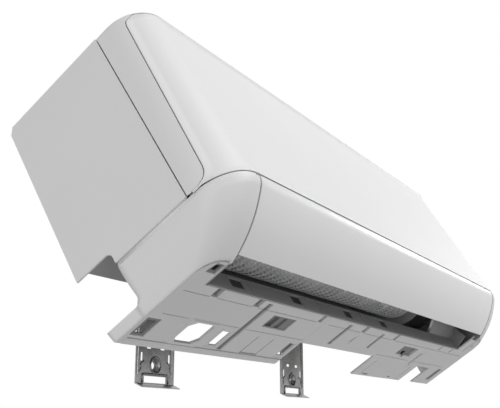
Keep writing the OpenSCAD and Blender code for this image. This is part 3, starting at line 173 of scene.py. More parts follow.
def block(low, high):
    """Closed box between two corners."""
    (x0, y0, z0), (x1, y1, z1) = low, high
    return prism([(y0, z0), (y1, z0), (y1, z1), (y0, z1)], x0, x1)


def mirrored(part):
    """Mirror image of points and faces in the plane X = 0, with its faces turned back outwards."""
    points, faces = part
    return np.asarray(points).reshape(-1, 3) * MIRROR, [list(f)[::-1] for f in faces]


def both_halves(half):
    """Grid whose columns run on past X = 0, where the left half ends, as its mirror image."""
    return np.concatenate([half, half[:, -2::-1] * MIRROR], axis=1)


# ---- Finishes

def put(tree, socket, value):
    """Links a socket to another, or sets it to a constant."""
    if isinstance(value, bpy.types.NodeSocket):
        tree.links.new(value, socket)
    else:
        socket.default_value = value


def fill(tree, node, **sockets):
    """Sets or links the sockets of a node by name, with _ for a space."""
    for key, value in sockets.items():
        put(tree, node.inputs[key.replace("_", " ")], value)


def add(tree, kind, **sockets):
    """New node of a kind, with its sockets set or linked by name."""
    node = tree.nodes.new(kind)
    fill(tree, node, **sockets)
    return node


def new_finish(name):
    """New material: its node tree, its shader and the place on the object, which its patterns follow."""
    material = bpy.data.materials.new(name)
    material.use_nodes = True
    tree = material.node_tree
    tree.nodes.clear()
    shader = tree.nodes.new("ShaderNodeBsdfPrincipled")
    tree.links.new(shader.outputs[0], tree.nodes.new("ShaderNodeOutputMaterial").inputs[0])
    return material, tree, shader, tree.nodes.new("ShaderNodeTexCoord").outputs["Object"]


def ramp(tree, factor, low, high, a=0.3, b=0.7):
    """Colour between two others as the factor goes from a to b."""
    node = tree.nodes.new("ShaderNodeValToRGB")
    for stop, place, colour in zip(node.color_ramp.elements, (a, b), (low, high)):
        stop.position = place
        stop.color = (*colour, 1)
    tree.links.new(factor, node.inputs[0])
    return node.outputs[0]


def value_range(tree, factor, low, high):
    """Number between two others as the factor goes from 0 to 1."""
    return add(tree, "ShaderNodeMapRange", Value=factor, To_Min=low, To_Max=high).outputs[0]


def blend(tree, share, first, second):
    """First value, with a share of the second in its place."""
    node = tree.nodes.new("ShaderNodeMix")
    for socket, value in zip((0, 2, 3), (share, first, second)):
        put(tree, node.inputs[socket], value)
    return node.outputs[0]


def combine(tree, operation, first, second):
    """Sum, product or greater of two numbers, as the operation says."""
    node = tree.nodes.new("ShaderNodeMath")
    node.operation = operation
    put(tree, node.inputs[0], first)
    put(tree, node.inputs[1], second)
    return node.outputs[0]


def waves(tree, place, scale, axis):
    """Even bands across an axis: a sine of the place times the scale."""
    node = add(tree, "ShaderNodeTexWave", Vector=place, Scale=scale)
    node.bands_direction = axis
    return node.outputs["Fac"]


def bump(tree, shader, height, strength, distance):
    """Relief of a height pattern, as deep as the distance in metres."""
    node = add(tree, "ShaderNodeBump", Height=height, Strength=strength, Distance=distance)
    tree.links.new(node.outputs[0], shader.inputs["Normal"])


def shade(colour, share):
    """Colour times a share."""
    return tuple(c * share for c in colour)


def moulded(name, colour, rough=0.4, vary=0.985, depth=0.08, coat=0.0, level=1.0):
    """Moulded plastic: faint cloudy tone at a level, fine grain in the surface and slightly uneven gloss."""
    material, tree, shader, place = new_finish(name)
    colour = shade(colour, level)
    cloud = add(tree, "ShaderNodeTexNoise", Vector=place, Scale=9.0, Detail=3.0).outputs[0]
    grain = add(tree, "ShaderNodeTexNoise", Vector=place, Scale=900.0, Detail=2.0).outputs[0]
    fill(tree, shader, Base_Color=ramp(tree, cloud, shade(colour, vary), colour), Coat_Weight=coat,
         Roughness=value_range(tree, grain, rough - 0.04, rough + 0.04), Coat_Roughness=0.12)
    bump(tree, shader, grain, depth, 0.0002)
    return material


def zinc(name, colour):
    """Galvanised sheet: crystal spangle and stains in tone and gloss."""
    material, tree, shader, place = new_finish(name)
    spangle = add(tree, "ShaderNodeTexVoronoi", Vector=place, Scale=420.0).outputs["Color"]
    stain = add(tree, "ShaderNodeTexNoise", Vector=place, Scale=24.0, Detail=6.0).outputs[0]
    mixed = blend(tree, 0.75, spangle, stain)
    fill(tree, shader, Base_Color=ramp(tree, mixed, shade(colour, 0.7), shade(colour, 1.25)),
         Roughness=value_range(tree, mixed, 0.22, 0.5), Metallic=0.9)
    bump(tree, shader, mixed, 0.15, 0.0003)
    return material


def metal(name, colour, rough=0.3, streak=(1.0, 40.0, 40.0), vary=0.8):
    """Drawn or turned metal: streaks along one direction in its tone and gloss."""
    material, tree, shader, place = new_finish(name)
    stretched = add(tree, "ShaderNodeMapping", Vector=place, Scale=streak).outputs[0]
    lines = add(tree, "ShaderNodeTexNoise", Vector=stretched, Scale=30.0, Detail=5.0).outputs[0]
    fill(tree, shader, Base_Color=ramp(tree, lines, shade(colour, vary), colour),
         Roughness=value_range(tree, lines, rough - 0.08, rough + 0.1), Metallic=1.0)
    bump(tree, shader, lines, 0.1, 0.0002)
    return material


def finned(name, colour):
    """Coil fins across X, 700 to the metre: painted shade in the gaps between them and a matching relief."""
    material, tree, shader, place = new_finish(name)
    fins = waves(tree, place, 700.0 / 3.1831, "X")
    tone = add(tree, "ShaderNodeTexNoise", Vector=place, Scale=60.0, Detail=3.0).outputs[0]
    mixed = blend(tree, 0.25, fins, tone)
    # The near-black end of the ramp paints the shade that falls in the gaps between the fins.
    fill(tree, shader, Base_Color=ramp(tree, mixed, (0.08, 0.08, 0.09), colour, 0.15, 0.6),
         Metallic=0.8, Roughness=0.4)
    bump(tree, shader, fins, 0.6, 0.0004)
    return material


def board_finish(name, colour):
    """Circuit board: solder mask with lighter tracks and tinned pads."""
    material, tree, shader, place = new_finish(name)
    tones = [(*shade(colour, share), 1) for share in (1.0, 1.3, 1.9)]
    tracks = add(tree, "ShaderNodeTexBrick", Vector=place, Scale=60.0, Color1=tones[0], Color2=tones[1],
                 Mortar=tones[2], Mortar_Size=0.03)
    fill(tree, shader, Base_Color=tracks.outputs["Color"], Roughness=0.3)
    bump(tree, shader, tracks.outputs["Fac"], 0.3, 0.0002)
    return material


def net_finish(name, colour):
    """Filter net: two sets of threads that cross, with painted shade in the openings."""
    material, tree, shader, place = new_finish(name)
    threads = combine(tree, "MAXIMUM", *(waves(tree, place, 180.0, axis) for axis in "XY"))
    # The openings get a quarter of the thread colour, a painted shade.
    fill(tree, shader, Base_Color=ramp(tree, threads, shade(colour, 0.25), colour, 0.55, 0.8), Roughness=0.7)
    bump(tree, shader, threads, 0.5, 0.0003)
    return material


# ---- Settings

def length(name, description, size):
    """Length setting, given in millimetres and kept in metres."""
    return FloatProperty(name=name, description=description, default=size / 1000, unit="LENGTH")


def colour_of(name, description, *default):
    """Colour setting."""
    return FloatVectorProperty(name=name, description=description, default=default, subtype="COLOR")


def power(name, description, watts):
    """Setting for the power of a lamp in watts."""
    return FloatProperty(name=name, description=description, default=watts, unit="POWER")


class IndoorUnitSizes(bpy.types.PropertyGroup):
    """Sizes of the pieces that are built here"""

    border_width: length("Border width", "Width of the sloped border round the face", 9.5)
    border_depth: length("Border depth", "Depth of the face behind its border", 2.2)
    panel_wall: length("Panel wall", "Thickness of the front panel", 2.4)
    casing_wall: length("Casing wall", "Thickness of the lower casing", 2.3)
    vane_length: length("Vane length", "Length of the vane with the gaps at its ends", 802.0)
    fan_segments: IntProperty(name="Fan segments", description="Number of segments along the fan", default=80)
    fan_blades: IntProperty(name="Fan blades", description="Number of blades round each segment", default=52)


class IndoorUnitColours(bpy.types.PropertyGroup):
    """Colours of the finishes"""

    face: colour_of("Face", "Colour of the front face and the vane", 0.82, 0.82, 0.82)
    shell: colour_of("Shell", "Colour of the casing", 0.78, 0.78, 0.78)
    cover: colour_of("Underside", "Colour of the underside covers", 0.63, 0.63, 0.635)
    steel: colour_of("Wall plate", "Colour of the wall plate", 0.42, 0.42, 0.42)


class IndoorUnitStudio(bpy.types.PropertyGroup):
    """Levels of the light"""

    key: power("Key light", "Power of the key light", 47.0)
    side: power("Side light", "Power of the light at the right", 6.0)
    fill: power("Fill light", "Power of the fill light", 20.0)
    outlet: power("Outlet light", "Power of the light into the air outlet", 0.06)
    ambient: FloatProperty(name="Ambient light", description="Level of the light from all round", default=0.34)


def millimetres(size):
    """Size setting in millimetres, to the nearest ten-thousandth."""
    return round(getattr(bpy.context.scene.indoor_unit_sizes, size) * 1000, 4)


def tint(name):
    """Colour setting as a tuple."""
    return tuple(getattr(bpy.context.scene.indoor_unit_colours, name))


FINISHES = {}


def finish(name):
    """Finish of a kind, made once and shared by its pieces. A colour given by name is a setting."""
    if name not in FINISHES:
        maker, material, colour, options, _ = LOOKS[name]
        colour = tint(colour) if isinstance(colour, str) else colour
        FINISHES[name] = maker(material, colour, **options)
    return FINISHES[name]


# Each finish: what makes it, its material, its colour, other values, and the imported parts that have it
LOOKS = {
    "face": (moulded, "face_white", "face", {"rough": 0.5, "depth": 0.02}, "face_plate"),
    "vane": (moulded, "vane_white", "face", {"rough": 0.3, "coat": 0.3, "depth": 0.02}, "vane_skin"),
    "shell": (moulded, "shell_white", "shell", {"rough": 0.42, "depth": 0.05},
              "upper_casing lower_casing panel_frame"),
    "cover": (moulded, "cover_grey", "cover", {"rough": 0.5, "depth": 0.12},
              "bottom_cover_left bottom_cover_right vane_liner"),
    "frame_part": (moulded, "frame_grey", (0.5, 0.5, 0.51), {"rough": 0.55, "depth": 0.12},
                   "top_grille louver_rail motor_bracket control_box control_box_cover"),
    "duct": (moulded, "duct_grey", (0.3, 0.3, 0.305), {"rough": 0.5, "depth": 0.1}, "base_frame vane_hanger"),
    "pan": (moulded, "pan_white", (0.62, 0.62, 0.62), {"rough": 0.5}, "drain_pan drain_spout"),
    "steel_plate": (zinc, "galvanised_sheet", "steel", {}, "mounting_plate"),
    "end_sheet": (zinc, "end_sheet_zinc", (0.4, 0.41, 0.42), {}, "coil_end_plates"),
    "fins": (finned, "coil_fins", (0.62, 0.64, 0.66), {}, "coil_front coil_upper coil_rear"),
    "copper": (metal, "pipe_copper", (0.72, 0.36, 0.22), {}, "coil_bends gas_pipe liquid_pipe"),
    "brass": (metal, "nut_brass", (0.72, 0.52, 0.22), {"rough": 0.28}, "gas_flare_nut liquid_flare_nut"),
    "pin_steel": (metal, "pin_steel", (0.5, 0.5, 0.52), {},
                  "hang_bars fan_shafts vane_pins panel_hinge_pins casing_screws"),
    "fan": (moulded, "fan_light", (0.93, 0.93, 0.93), {"vary": 0.95}, "cross_flow_fan"),
    "motor": (metal, "motor_case", (0.4, 0.41, 0.43), {"rough": 0.45, "streak": (40.0, 1.0, 1.0)}, "fan_motor"),
    "small_motor": (metal, "stepper_case", (0.6, 0.6, 0.58), {"rough": 0.4}, "vane_motor louver_motor"),
    "rubber": (moulded, "bush_rubber", (0.03,) * 3, {"rough": 0.75, "vary": 0.7}, "fan_bush room_sensor"),
    # dark plastic of the bushes, terminal block and display window; the same finish paints the shade on the
    # rail and in the lip's notches
    "dark": (moulded, "dark_plastic", (0.03, 0.03, 0.032), {"rough": 0.35, "vary": 0.8},
             "vane_bushes terminal_block display_window"),
    "louver": (moulded, "louver_grey", (0.16, 0.165, 0.175), {"rough": 0.5, "vary": 0.9},
               "louver_crank louver_link " + " ".join("louver_%d" % i for i in range(1, 11))),
    "board": (board_finish, "board_green", (0.02, 0.12, 0.05), {}, "circuit_board display_board"),
    # painted shade: the underside colour at three tenths, for recessed floors and the panel's groove floor
    # where shade falls
    "recess": (moulded, "recess_grey", "cover", {"rough": 0.6, "depth": 0.1, "level": 0.3}, ""),
    "lip": (moulded, "lip_grey", (0.3, 0.3, 0.305), {"rough": 0.55, "depth": 0.1}, ""),
    # pressings: real relief, with a colour much darker than the plate as painted shade along their edges
    "pressed": (metal, "pressed_zinc", (0.3, 0.3, 0.3),
                {"rough": 0.25, "streak": (20.0, 20.0, 20.0), "vary": 0.3}, ""),
    "button": (moulded, "button_grey", (0.35, 0.35, 0.35), {"rough": 0.45}, "emergency_button"),
    "filter": (moulded, "filter_frame", (0.6, 0.61, 0.62), {"rough": 0.5}, "filter_left filter_right"),
    "net": (net_finish, "filter_net", (0.3, 0.32, 0.34), {}, "filter_mesh_left filter_mesh_right"),
}


class OBJECT_OT_unit_finishes(bpy.types.Operator):
    """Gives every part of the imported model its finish"""

    bl_idname = "object.unit_finishes"
    bl_label = "Part Finishes"

    def execute(self, context):
        for name, look in LOOKS.items():
            for part in look[-1].split():
                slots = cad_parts[part].data.materials
                slots.clear()
                slots.append(finish(name))
        return {"FINISHED"}


# ---- Front panel

PANEL_LOW, PANEL_BACK, FACE_TOP = 56.7, 55.1, 290.6
CORNER, CORNER_LOSS, CENTRE_LOSS = 53.5, 8.5, 14.5
RETURN_Z = [57.0, 57.6, 58.6, 60.2, 62.4, 65.2, 69.0, 75.0, 279.0, 285.0, 290.6]
RETURN_TURN = [4.0, 10.0, 14.5, 18.3, 21.3, 23.8, 25.8, 26.7, 26.7, 28.6, 40.5]
EDGE_STEPS = np.array([0.0, 0.08, 0.2, 0.4, 0.7, 1.1, 1.7])
FACE_GAP, GROOVE_DEPTH, GROOVE_WALL = 0.8, 2.8, 0.8  # of the groove between the side return and the face
# Height and distance inside the outline of each row of the panel's top, from the face back to the roll
TOP_ROWS = [(291.15, 0.5), (291.25, 0.2), (291.45, 0.05), (291.8, 0.0), (292.6, 0.25), (293.2, 0.65),
            (293.65, 1.25), (293.9, 2.0), (TOP, 3.0), (TOP, 6.0), (TOP, 14.0), (TOP, 30.0), (TOP, 43.0)]
TOP_CENTRE = 39.0
ROLL_RADIUS, ROLL_Y, ROLL_Z = 4.0, 51.1, 290.0
ROLL_END, STRIP_END, EAR_OUT, EAR_IN = 452.0, 412.4, 384.8, 375.2


def panel_shape(z):
    """Corner radius and centre depth of the panel's plan at a height: 53.5 at the seam, less higher up."""
    t = (np.asarray(z, float) - SEAM) / (TOP - SEAM)
    return CORNER - CORNER_LOSS * t, CORNER - CENTRE_LOSS * t


def panel_point(turn, z, inside=0.0, x_share=0.0):
    """Point of the panel at a turn from the side (0) to the face (90), or along its straight side where
    the turn is negative (millimetres behind the corner's centre) and its straight face by x_share."""
    radius, centre = panel_shape(z)
    r = radius - inside
    a = np.radians(np.clip(turn, 0, 90))
    x = -HALF_WIDTH + radius - r * np.cos(a) + (HALF_WIDTH - radius) * x_share
    return spread(x, centre - r * np.sin(a) - np.minimum(turn, 0), z)


def return_turn(z):
    """Turn at which the side return ends: level along the side, less at the bottom, more at the top."""
    return np.interp(z, RETURN_Z, RETURN_TURN)


def face_rows():
    """Heights of the face's rows: close at its two edges and wide apart between them."""
    low = [PANEL_LOW + EDGE_STEPS, np.linspace(59.4, 76, 14)]
    high = [np.linspace(268, 288.6, 16), FACE_TOP - EDGE_STEPS]
    return np.sort(np.concatenate(low + [np.linspace(84, 260, 12)] + high))[:, None]


def face_surface():
    """Face between the side returns: columns run from the return's edge round the corner and over to the
    middle, and the surface lies behind its border by a smooth step of the distance from its edges."""
    z = face_rows()
    radius, _ = panel_shape(z)
    per_mm = 180 / (math.pi * radius)
    start = return_turn(z) + FACE_GAP * per_mm
    first = start + EDGE_STEPS[None, :] * per_mm
    second = first[:, -1:] + (90 - first[:, -1:]) * np.linspace(0, 1, 30)[None, 1:]
    turn = np.concatenate([first, second], axis=1)
    straight = np.concatenate([np.linspace(0, 0.06, 7)[1:], np.linspace(0.12, 1, 8)])[None, :]
    gap = (turn - start) / per_mm
    side_gap = np.concatenate([gap, gap[:, -1:] + straight * (HALF_WIDTH - radius)], axis=1)
    low_gap, high_gap = z - PANEL_LOW, FACE_TOP - z
    width, depth = millimetres("border_width"), millimetres("border_depth")
    fall = smooth_step(side_gap / width) * smooth_step(low_gap / (width * 0.85)) * smooth_step(high_gap / 6.0)
    fall = fall * depth + eased(side_gap, 0.7) + eased(low_gap, 0.9) + eased(high_gap, 0.7)
    bent = turn.shape[1]
    corner = panel_point(turn, z, fall[:, :bent])
    return both_halves(np.concatenate([corner, panel_point(90.0, z, fall[:, bent:], straight)], axis=1))


def return_surface():
    """Side return of the panel, from the seam with the casing round to the face, left side."""
    z = np.concatenate([PANEL_LOW + EDGE_STEPS, np.linspace(59.4, 76, 12), np.linspace(90, 270, 8),
                        np.linspace(276, FACE_TOP + 0.6, 14)])[:, None]
    radius, centre = panel_shape(z)
    per_mm = 180 / (math.pi * radius)
    length = PANEL_BACK - centre + return_turn(z) / per_mm
    inner = EDGE_STEPS[-1] + (length - 2 * EDGE_STEPS[-1]) * np.linspace(0, 1, 26)[None, 1:-1]
    ones = np.ones_like(length)
    run = np.concatenate([ones * EDGE_STEPS, inner, length - ones * EDGE_STEPS[::-1]], axis=1)
    past = run - (PANEL_BACK - centre)
    inside = eased(run, 0.6) + eased(length - run, 0.5) + eased(z - PANEL_LOW, 0.5)
    point = panel_point(np.where(past > 0, past * per_mm, past), z, inside)
    point[..., 1] = np.where(past > 0, point[..., 1], PANEL_BACK - run)
    point[..., 0] = np.where(past > 0, point[..., 0], inside - HALF_WIDTH)
    return point


def hinge_roll():
    """Roll along the panel's top rear edge, three quarters of a circle on a flat strip, with room for the
    two hinge ears."""
    a = np.radians(np.linspace(90, -180, 25))
    roll = list(zip(ROLL_Y + ROLL_RADIUS * np.cos(a), ROLL_Z + ROLL_RADIUS * np.sin(a)))
    edge = [(36.5, 291.6), (36.5, TOP)]
    bare, strip = roll + [(ROLL_Y, ROLL_Z)], edge + roll + [(47.1, 291.6)]
    front = edge + [(46.0, TOP), (46.0, 291.6)]
    parts = []
    for outline, low, high in ((bare, -ROLL_END, -STRIP_END), (strip, -STRIP_END, -EAR_OUT),
                               (front, -EAR_OUT, -EAR_IN), (strip, -EAR_IN, EAR_IN), (front, EAR_IN, EAR_OUT),
                               (strip, EAR_OUT, STRIP_END), (bare, STRIP_END, ROLL_END)):
        points, faces = prism(outline, low, high)
        parts.append((points, outward(points, faces)))
    return parts


def groove_floor():
    """Floor of the groove between the side return and the face, 2.8 behind the panel's outer surface."""
    z = np.linspace(PANEL_LOW + 0.6, FACE_TOP - 0.2, 60)[:, None]
    per_mm = 180 / (math.pi * panel_shape(z)[0])
    return panel_point(return_turn(z) + np.linspace(-2.2, 3.0, 9)[None, :] * per_mm, z, GROOVE_DEPTH)


def top_surface():
    """Strip over the face: it rounds from the face over to the top and runs back to the hinge roll."""
    z, inside = np.array(TOP_ROWS).T[:, :, None]
    turn = np.concatenate([[TOP_CENTRE - PANEL_BACK], np.linspace(0, 90, 25)])[None, :]
    corner = panel_point(turn, z, inside)
    corner[:, 0, 0] = inside[:, 0] - HALF_WIDTH
    corner[:, 0, 1] = PANEL_BACK
    straight = np.linspace(0, 1, 10)[None, 1:]
    return both_halves(np.concatenate([corner, panel_point(90.0, z, inside, straight)], axis=1))


class OBJECT_OT_unit_panel(bpy.types.Operator):
    """Builds the front panel: its face with the sloped border"""

    bl_idname = "object.unit_panel"
    bl_label = "Front Panel"

    def execute(self, context):
        wall = millimetres("panel_wall")
        face = make_object("panel_face", [shell(face_surface(), wall)], "face", "panel")
        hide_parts("face_plate")
        side = shell(return_surface(), wall)
        parts = [side, mirrored(side), shell(top_surface(), wall)] + hinge_roll()
        rim = make_object("panel_rim", parts, "shell", "panel")
        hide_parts("panel_frame")
        back = shell(groove_floor(), GROOVE_WALL)
        # painted shade: the groove floor has the darker recess finish in place of the panel's own colour
        make_object("panel_groove", [back, mirrored(back)], "recess", "panel")
        return {"FINISHED"}


# ---- Lower casing

BEND_RADIUS, BEND_TURN, ARC_TURN = 20.0, math.radians(42), math.radians(29.4)
NOTCH_LOW, NOTCH_RADIUS, NOTCH_FRONT = 10.0, 8.0, 156.0
CHEEK_OUT, CHEEK_BACK = 405.5, 107.0
TONGUE_SIDE, TONGUE_RADIUS, TONGUE_WALL = 453.5, 53.0, 1.6
# Corners of the rail over the bay (painted shade behind the gap above the vane), of the tab beside the vane and
# of the tongue behind the side wall
SHADE_RAIL = (-CHEEK_OUT, 6.0, 53.0), (CHEEK_OUT, 8.4, 70.0)
TAB = (-CHEEK_OUT, 9.0, 53.5), (-BAY, 58.0, 80.0)
TONGUE = (-452.2, 58.0, 46.0), (-449.7, 154.0, 70.0)


def arc_profile(turn, inside=0.0):
    """Front and underside profile: a bend of radius 20 for the first 42 degrees, then an arc of radius 146
    for 29.4 more, from upright at the seam; the point lies inside by a distance along its normal."""
    s = np.radians(np.asarray(turn, float))
    bend_y, bend_z = BEND_RADIUS * (1 - math.cos(BEND_TURN)), SEAM - BEND_RADIUS * math.sin(BEND_TURN)
    r = bend_z / math.cos(BEND_TURN + ARC_TURN / 2) / (2 * math.sin(ARC_TURN / 2))
    bent = s <= BEND_TURN
    y = np.where(bent, BEND_RADIUS * (1 - np.cos(s)), bend_y + r * (math.cos(BEND_TURN) - np.cos(s)))
    z = np.where(bent, SEAM - BEND_RADIUS * np.sin(s), bend_z - r * (np.sin(s) - math.sin(BEND_TURN)))
    return y + inside * np.cos(s), z + inside * np.sin(s)


def casing_rows():
    """Rows of the lower casing from the bottom up: front, height and inset of its rounded lower edge, of the
    front profile and of the ledge under the seam."""
    turn = np.concatenate([[0.0, 0.3, 0.8, 1.5], np.linspace(3, 42, 24), np.linspace(43.5, 71.4, 22)])
    y, z = arc_profile(turn)
    inside = 1.3 * smooth_step((z - 52.2) / 0.7) + eased(SEAM - z, 0.4) + eased(z, 0.5)
    y = np.concatenate([y, np.full(2, y[-1])])
    z = np.concatenate([np.maximum(z, 0), np.zeros(2)])
    inside = np.concatenate([inside, [1.2, 3.0]])
    return y[::-1, None], z[::-1, None], inside[::-1, None]


def side_at(z):
    """Half width of the lower casing at a height: less by 1.5 at the seam and by 16.5 at the bottom."""
    return HALF_WIDTH - (1.5 + 15 * ((SEAM - z) / SEAM) ** 2)


def casing_surface(notched):
    """End of the lower casing on the left: columns run from the back or the notch along the side, round a
    corner of radius 53 at the seam and 30 at the bottom, and over to the vane's bay."""
    y, z, inside = casing_rows()
    side = side_at(z)
    radius = np.minimum(30 + 23 * z / SEAM, side - BAY - 0.8)
    rise = np.clip(NOTCH_LOW + NOTCH_RADIUS - z, 0, NOTCH_RADIUS)
    back = NOTCH_FRONT + NOTCH_RADIUS - np.sqrt(NOTCH_RADIUS ** 2 - rise ** 2) if notched else BACK + 0 * z
    flank = spread(inside - side, back + np.linspace(0, 1, 14)[None, :] * (y + radius - back), z)
    a = np.radians(np.linspace(0, 90, 32)[1:])[None, :]
    r = radius - inside
    corner = spread(radius - side - r * np.cos(a), y + radius - r * np.sin(a), z)
    share = np.concatenate([np.linspace(0, 1, 7)[1:-1], [0.975, 0.99, 0.996, 1.0]])[None, :]
    x = (radius - side) + (side - radius - BAY) * share
    return np.concatenate([flank, corner, spread(x, y + inside + eased(-BAY - x, 0.5), z)], axis=1)


def below_notch():
    """Strip of the left side under the pipe notch, back to the wall side."""
    _, z, inside = casing_rows()
    low = z[:, 0] <= NOTCH_LOW
    z = np.append(z[low, 0], NOTCH_LOW)[:, None]
    inside = np.append(inside[low, 0], 0.0)[:, None]
    return spread(inside - side_at(z), np.linspace(BACK, NOTCH_FRONT + NOTCH_RADIUS, 8)[None, :], z)


def seam_tongue():
    """Upright wall inside the seam under the panel, from the casing's flank round its corner to the bay."""
    z = np.array([53.5, 53.8, 55.0, 57.0, 59.2, 60.2, 60.5])[:, None]
    inside = np.array([4.0, 3.7, 3.6, 3.6, 3.6, 3.8, 4.1])[:, None]
    flank = spread(inside - TONGUE_SIDE, np.linspace(54.0, TONGUE_RADIUS, 4)[None, :], z)
    a = np.radians(np.linspace(0, 90, 30)[1:])[None, :]
    r = TONGUE_RADIUS - inside
    corner = spread(TONGUE_RADIUS - TONGUE_SIDE - r * np.cos(a), TONGUE_RADIUS - r * np.sin(a), z)
    return np.concatenate([flank, corner], axis=1)


def cheek_outline():
    """Outline of the wall beside the vane's bay: down the front profile and back along the bottom."""
    y, z = arc_profile(np.linspace(3, 71.4, 30), 0.4)
    return list(zip(y, np.maximum(z, 0.2))) + [(CHEEK_BACK, 0.2), (CHEEK_BACK, SEAM - 0.5)]


class OBJECT_OT_unit_lower_casing(bpy.types.Operator):
    """Builds the lower casing: two rounded ends with the pipe notch, cheeks, tongues and a dark rail that
    paints the shade in the gap over the vane
    """

    bl_idname = "object.unit_lower_casing"
    bl_label = "Lower Casing"

    def execute(self, context):
        thickness = millimetres("casing_wall")
        wall = prism(cheek_outline(), -CHEEK_OUT, -BAY)
        wall = (wall[0], outward(*wall))
        tab, tongue, lip = block(*TAB), block(*TONGUE), shell(seam_tongue(), TONGUE_WALL)
        ends = [shell(casing_surface(True), thickness), shell(below_notch(), thickness),
                mirrored(shell(casing_surface(False), thickness)), lip, mirrored(lip), tongue, mirrored(tongue)]
        cheeks = [wall, mirrored(wall), tab, mirrored(tab)]
        # painted shade: the rail is a dark block behind the gap between the panel and the vane, seen only
        # through that gap
        for name, parts, look in (("lower_casing_ends", ends, "shell"), ("lower_casing_cheeks", cheeks, "duct"),
                                  ("lower_casing_rail", [block(*SHADE_RAIL)], "dark")):
            piece = make_object(name, parts, look, "chassis", look == "shell")
            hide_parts("lower_casing")
        return {"FINISHED"}


# ---- Underside and outlet lip

# Openings of the underside from the body's left edge and its front: low and high X, low and high Y
UNDERSIDE_CUTS = [
    (90, 133, 158, 192), (155, 171, 165, 190), (306, 320, 165, 190), (707, 712, 135, 165), (29, 42, 168, 189),
    (640, 652, 139, 150), (864, 867, 166, 190), (440, 442.5, 130, 142), (36, 44, 80, 88),
]
# Steps of the underside: low and high Y and depth, then low and high X of each
UNDERSIDE_STEPS = {
    (110, 195, 1.9): [(177, 187)], (111, 153, 1.9): [(389, 399)], (113, 146, 1.9): [(503, 512)],
    (125, 146, 1.4): [(210, 264)], (128, 145, 3.2): [(216, 228)], (128, 145, 2.2): [(236, 246)],
    (126, 146, 3.6): [(615, 676)], (163, 195, 1.8): [(226, 228), (261, 263)], (193, 195, 1.8): [(226, 263)],
    (160, 194, -0.6): [(150, 152)], (192, 194, -0.6): [(152, 174)],
    (107, 119, 3.6): [(74, 86), (154, 166), (307, 316), (437, 448), (551, 560)],
    (107, 117, 3.0): [(749, 755), (803, 809)], (77, 91, 1.6): [(31, 48)], (164, 192, 1.2): [(24, 46)],
    (154, 196, -0.7): [(86, 137)], (161, 194, 0.7): [(151, 175), (302, 324)],
    (119.6, 120.4, 0.9): [(30, 74), (88, 154), (167, 306), (338, 437), (450, 550), (562, 880)],
    (154.8, 155.6, 0.9): [(36, 80), (90, 176), (190, 325), (558, 690), (716, 860)],
    (195.8, 196.6, 1.0): [(26, 325)], (196.6, 206, -0.8): [(26, 325)],
    (168, 204, 0.9): [(584, 586), (730, 732)], (200, 203, 1.4): [(592, 612)], (199, 202, 1.4): [(690, 700)],
    (162, 194, 0.8): [(857, 874)], (127, 146, 0.7): [(438, 445)], (131, 169, 0.7): [(702, 717)],
    (88, 92, 1.8): [(868, 873)],
}
# Steps of the outlet's lip: low and high Z and depth, then low and high X of each
LIP_STEPS = {
    (7, 19, 1.4): [(102, 128), (232, 257), (375, 399), (494, 518)], (2.2, 3.0, 0.5): [(60, 830)],
    (3, 22, 0.9): [(140, 142), (300, 302), (430, 432), (548, 550), (640, 642), (716, 718)],
    (20.6, 21.2, 0.5): [(60, 830)],
}
END_X, SIDE_X, END_RADIUS, COVER_FRONT = 406.0, 435.75, 27.25, 68.0
PARTING, PARTING_GAP = -128.75, 0.5
COVER_WALL, COVER_BACK = 1.2, 2.5  # least thickness, and height of the flat back
# Outlet, pipe notch and cable notch from the middle: low and high X, low and high Y
LARGE_CUTS = [(-END_X, 375.0, 0.0, 107.0), (375.0, 402.5, 0.0, 76.0), (402.5, END_X, 0.0, 107.5),
              (PARTING + PARTING_GAP, 103.0, 160.0, 210.0), (297.0, 356.0, 164.0, 210.0)]
# Webs across the corners of the large opening: place, and length of the two legs
WEBS = ((-365, 158, 12, 9), (-322, 158, -7, 5), (-365, 192, 6, -8), (-322, 192, -10, -9))
COVER_SHADE_DEPTH = 0.75  # depth past which a recess gets painted shade
# Outlet lip: its X and Z spans, its face and back in Y, and the Y range of its deepest notch floors, which get
# painted shade
LIP_X, LIP_Z, LIP_FACE, LIP_BACK, LIP_SHADE_SPAN = (-400.0, 375.0), (0.4, 22.6), 105.0, 106.9, (106.2, 106.8)


def steps_of(table):
    """Steps of a table, each as low and high X from the middle, low and high across and depth."""
    return [(a - HALF_WIDTH, b - HALF_WIDTH, *key) for key, spans in table.items() for a, b in spans]


def line_places(low, high, features, first, step, more=()):
    """Grid lines from low to high: two at every edge of a feature, given by its values from the first on,
    and others between them where they lie further apart than the step."""
    edges = np.array([v for f in features for v in f[first:first + 2] if low < v < high] + list(more))
    lines = np.unique(np.round(np.concatenate([edges - 0.15, edges + 0.15, [low, high]]), 3))
    lines = lines[(lines >= low) & (lines <= high)]
    lines = lines[np.concatenate([[True], np.diff(lines) > 0.05])]
    lines[-1] = high
    runs = [np.linspace(a, b, max(math.ceil((b - a) / step), 1) + 1)[:-1] for a, b in zip(lines, lines[1:])]
    return np.concatenate(runs + [[high]])


def plateau(values, low, high):
    """1 between two places and 0 outside them, with sloped edges 0.3 wide."""
    return np.clip((values - low) / 0.3 + 0.5, 0, 1) * np.clip((high - values) / 0.3 + 0.5, 0, 1)


def relief(steps, u, v):
    """Depth over a grid: the sum of the sloped-edged steps."""
    return sum(depth * plateau(u, a, b) * plateau(v, c, d) for a, b, c, d, depth in steps)


